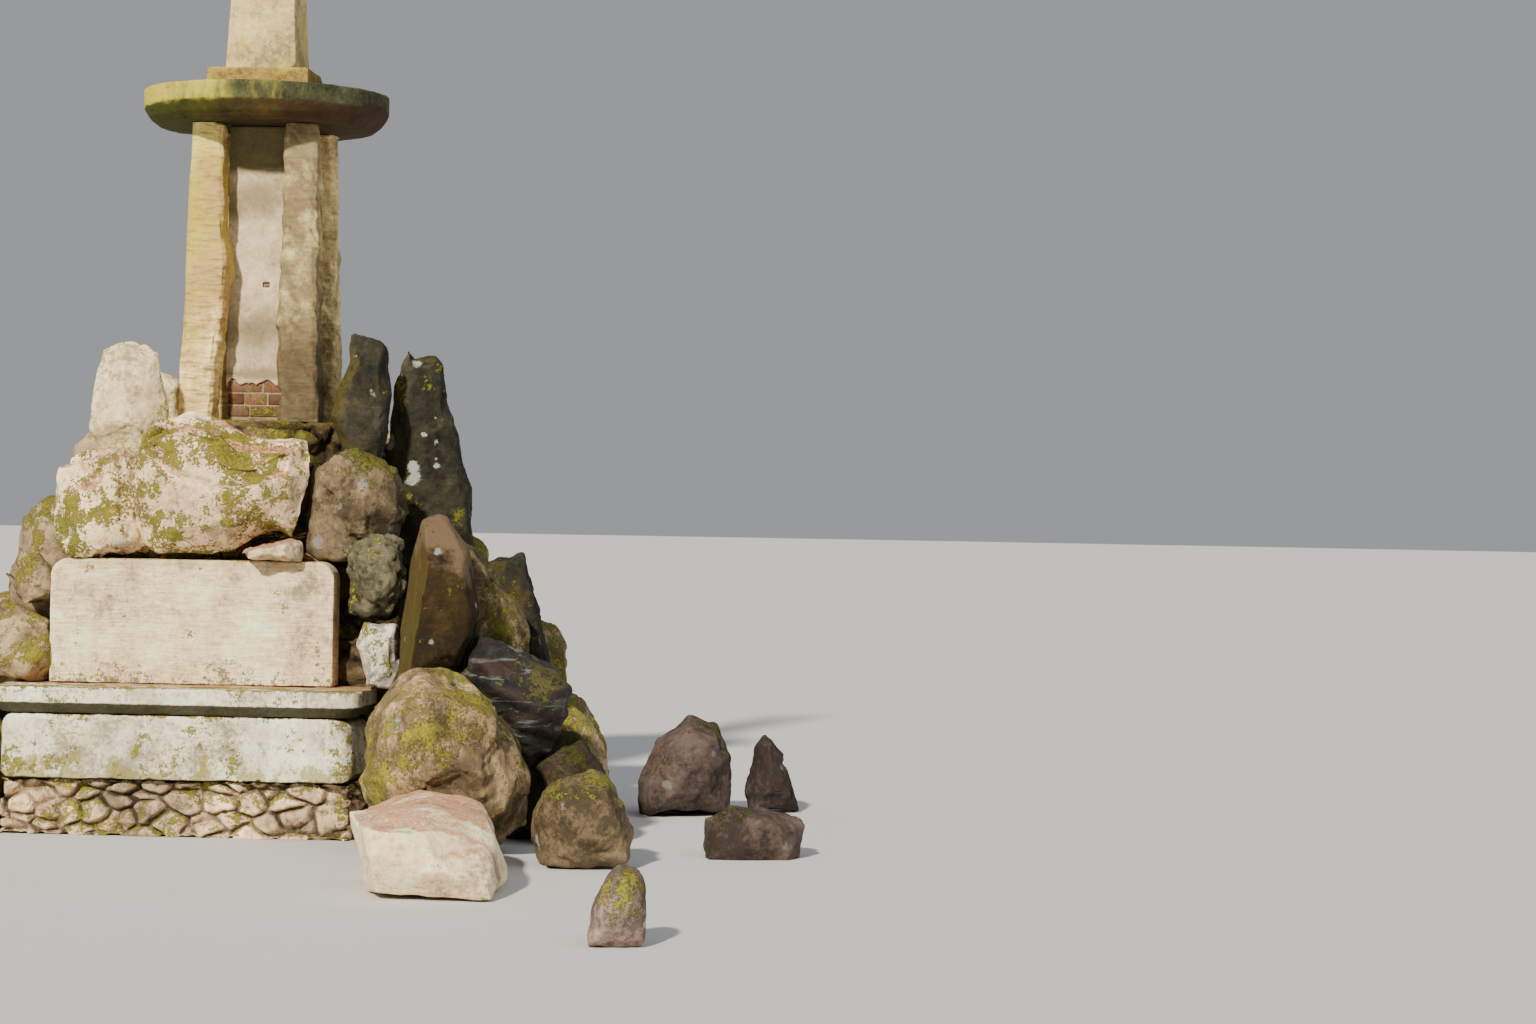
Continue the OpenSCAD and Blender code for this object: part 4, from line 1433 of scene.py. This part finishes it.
class OBELISK_OT_pier_render(PieceOperator, bpy.types.Operator):
    """Make the render on the pier, with a broken lower edge and one hole"""

    bl_idname = "obelisk.pier_render"
    bl_label = "Pier render"

    def execute(self, context):
        ragged = settings().pier.ragged
        low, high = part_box("pier_render")
        wall = high.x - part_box("brick_pier")[1].x
        # The sheet's grid on each side, its rounded arrises and the depth of its waves
        columns, rows = 24, 96
        arris, waves = 0.008, 0.0025
        # How far up its broken edge fades out, and its small hole
        reach = 0.4
        hole, hole_radius = Vector((0.055, -high.y, 3.30)), 0.022
        bm = block(low, high)
        ends = [f for f in bm.faces if abs(f.normal.z) > 0.5]
        bmesh.ops.delete(bm, geom=ends, context="FACES")
        bmesh.ops.bevel(
            bm, geom=long_edges(bm, 0.1, True), offset=arris, segments=2, profile=0.5,
            affect="EDGES", material=-1,
        )
        level = long_edges(bm, 0.1, False)
        bmesh.ops.subdivide_edges(bm, edges=level, cuts=columns - 1, use_grid_fill=True)
        upright = long_edges(bm, 0.1, True)
        bmesh.ops.subdivide_edges(bm, edges=upright, cuts=rows - 1, use_grid_fill=True)
        for vert in bm.verts:
            up = vert.co.z - low.z
            if up < reach:
                wave = rough_noise(Vector((vert.co.x, vert.co.y, 3)), 0.12)
                vert.co.z += max(0.0, ragged * (0.5 + 0.6 * wave)) * (1 - up / reach)
        for vert in bm.verts:
            out = Vector((vert.co.x, vert.co.y, 0)).normalized()
            vert.co -= out * (waves + waves * rough_noise(vert.co, 0.2, 3))
        gone = [f for f in bm.faces if (f.calc_center_median() - hole).length < hole_radius]
        bmesh.ops.delete(bm, geom=gone, context="FACES")
        bmesh.ops.recalc_face_normals(bm, faces=bm.faces)
        coat = evaluated(mesh_of(bm), "SOLIDIFY", thickness=wall - 0.002, offset=-1)
        piece("pier_render_coat", coat, "pier_render", "render", "lime_render")
        return {"FINISHED"}


class OBELISK_OT_round_slab(PieceOperator, bpy.types.Operator):
    """Make the round slab on the pillars"""

    bl_idname = "obelisk.round_slab"
    bl_label = "Round slab"

    def execute(self, context):
        sizes = settings().slab
        low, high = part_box("round_slab")
        radius = high.x
        rim = high.z - sizes.rim_height
        solid = bmesh.new()
        # The sloping underside as shares of its width in and of its height up
        slope = [
            (radius - sizes.slope_width * inset, low.z + (rim - low.z) * rise)
            for inset, rise in ((1, 0), (0.42, 0.38), (0.12, 0.76), (0, 1))
        ]
        outline = [(0, low.z), *slope, (radius, high.z), (0, high.z)]
        verts = [solid.verts.new((x, 0, z)) for x, z in outline]
        edges = [solid.edges.new(pair) for pair in zip(verts, verts[1:])]
        bmesh.ops.spin(
            solid, geom=verts + edges, axis=(0, 0, 1), cent=(0, 0, 0), angle=math.tau, steps=144,
            use_merge=True,
        )
        bmesh.ops.remove_doubles(solid, verts=solid.verts, dist=MERGE)
        bmesh.ops.recalc_face_normals(solid, faces=solid.faces)
        # Chips off the rim and the slope
        cut_facets(solid, ((-8, -50, 0.030), (-14, -35, 0.018), (131, -50, 0.05), (60, 50, 0.015)))
        make_dressed("round_slab", DRESSED["round_slab"], solid)
        return {"FINISHED"}


class OBELISK_OT_plinth(PieceOperator, bpy.types.Operator):
    """Make the plinth with its broken corner"""

    bl_idname = "obelisk.plinth"
    bl_label = "Plinth"
    dressed = ("plinth",)


class OBELISK_OT_shaft(PieceOperator, bpy.types.Operator):
    """Make the tapered shaft with its pointed tip"""

    bl_idname = "obelisk.shaft"
    bl_label = "Shaft"
    dressed = ("shaft",)


class OBELISK_OT_bench(PieceOperator, bpy.types.Operator):
    """Make the bench's block, seat and backrest"""

    bl_idname = "obelisk.bench"
    bl_label = "Bench"
    dressed = ("bench_block", "bench_seat", "bench_backrest")


# Colours of the two lights, of the light from all round and of the floor
WARM = (1.0, 0.92, 0.80)
COOL = (0.86, 0.93, 1.0)
SKY = (0.93, 0.96, 1.0, 1)
FLOOR = (0.60, 0.59, 0.575, 1)
# How strong the fill light is as a share of the key light
FILL_SHARE = 0.1


class OBELISK_OT_stage(PieceOperator, bpy.types.Operator):
    """Make the floor, the lights and the camera"""

    bl_idname = "obelisk.stage"
    bl_label = "Stage"

    def execute(self, context):
        stage = settings().stage
        self.floor(stage)
        self.sky(stage)
        fill = stage.key_strength * FILL_SHARE
        self.light("key_light", stage.key_strength, WARM, (59, 0, -15), 3)
        self.light("fill_light", fill, COOL, (45, 0, 55), 40)
        self.camera(stage)
        return {"FINISHED"}

    def floor(self, stage):
        bm = bmesh.new()
        bmesh.ops.create_circle(bm, cap_ends=True, segments=96, radius=stage.floor_radius)
        mesh = mesh_of(bm, "pale_floor")
        plain = bpy.data.materials.new("pale_floor")
        plain.use_nodes = True
        shader = plain.node_tree.nodes["Principled BSDF"]
        shader.inputs["Base Color"].default_value = FLOOR
        shader.inputs["Roughness"].default_value = 0.95
        mesh.materials.append(plain)
        floor = placed("pale_floor", mesh)

    def sky(self, stage):
        world = bpy.data.worlds.new("soft_light")
        world.use_nodes = True
        background = world.node_tree.nodes["Background"]
        background.inputs["Color"].default_value = SKY
        background.inputs["Strength"].default_value = stage.sky_strength
        bpy.context.scene.world = world

    def light(self, name, strength, colour, turn, softness):
        """A far lamp, turned by degrees, whose shadows are soft by degrees."""
        lamp = bpy.data.lights.new(name, "SUN")
        lamp.energy = strength
        lamp.color = colour
        lamp.angle = math.radians(softness)
        placed(name, lamp).rotation_euler = [math.radians(angle) for angle in turn]

    def camera(self, stage):
        lens = bpy.data.cameras.new("camera")
        lens.lens = stage.lens
        lens.sensor_width = 36
        lens.clip_end = 600
        camera = placed("camera", lens)
        turn = Matrix.Rotation(stage.turn, 4, "Z")
        level = Matrix.Rotation(math.radians(90), 4, "X")
        roll = Matrix.Rotation(stage.roll, 4, "Z")
        camera.matrix_world = Matrix.Translation(stage.eye_place) @ turn @ level @ roll
        bpy.context.scene.camera = camera


PIECE_OPERATORS = (
    OBELISK_OT_rubble,
    OBELISK_OT_crown,
    OBELISK_OT_standing,
    OBELISK_OT_flank,
    OBELISK_OT_ground,
    OBELISK_OT_rear,
    OBELISK_OT_footing,
    OBELISK_OT_bench,
    OBELISK_OT_brick_pier,
    OBELISK_OT_pier_render,
    OBELISK_OT_pillars,
    OBELISK_OT_round_slab,
    OBELISK_OT_plinth,
    OBELISK_OT_shaft,
    OBELISK_OT_stage,
)


class OBELISK_PT_panel(bpy.types.Panel):
    """The obelisk's settings and the operators that make its pieces"""

    bl_idname = "OBELISK_PT_panel"
    bl_label = "Obelisk"
    bl_space_type = "VIEW_3D"
    bl_region_type = "UI"
    bl_category = "Obelisk"

    def draw(self, context):
        for part in ObeliskSettings.__annotations__:
            group = getattr(settings(), part)
            box = self.layout.box()
            for name in group.__annotations__:
                box.prop(group, name)
        for operator in PIECE_OPERATORS:
            self.layout.operator(operator.bl_idname)


CLASSES = (
    BoulderSettings,
    DressedSettings,
    PierSettings,
    SlabSettings,
    ColourSettings,
    StageSettings,
    ObeliskSettings,
    *PIECE_OPERATORS,
    OBELISK_PT_panel,
)


def register():
    """Registers the classes and puts the settings on the scene."""
    for cls in CLASSES:
        bpy.utils.register_class(cls)
    bpy.types.Scene.obelisk = PointerProperty(type=ObeliskSettings)


def unregister():
    """Takes the settings and the classes away again."""
    del bpy.types.Scene.obelisk
    for cls in reversed(CLASSES):
        bpy.utils.unregister_class(cls)


def main():
    """Makes every piece and the stage."""
    register()
    noise.seed_set(NOISE_SEED)
    for operator in PIECE_OPERATORS:
        group, name = operator.bl_idname.split(".")
        getattr(getattr(bpy.ops, group), name)()


if __name__ == "__main__":
    main()
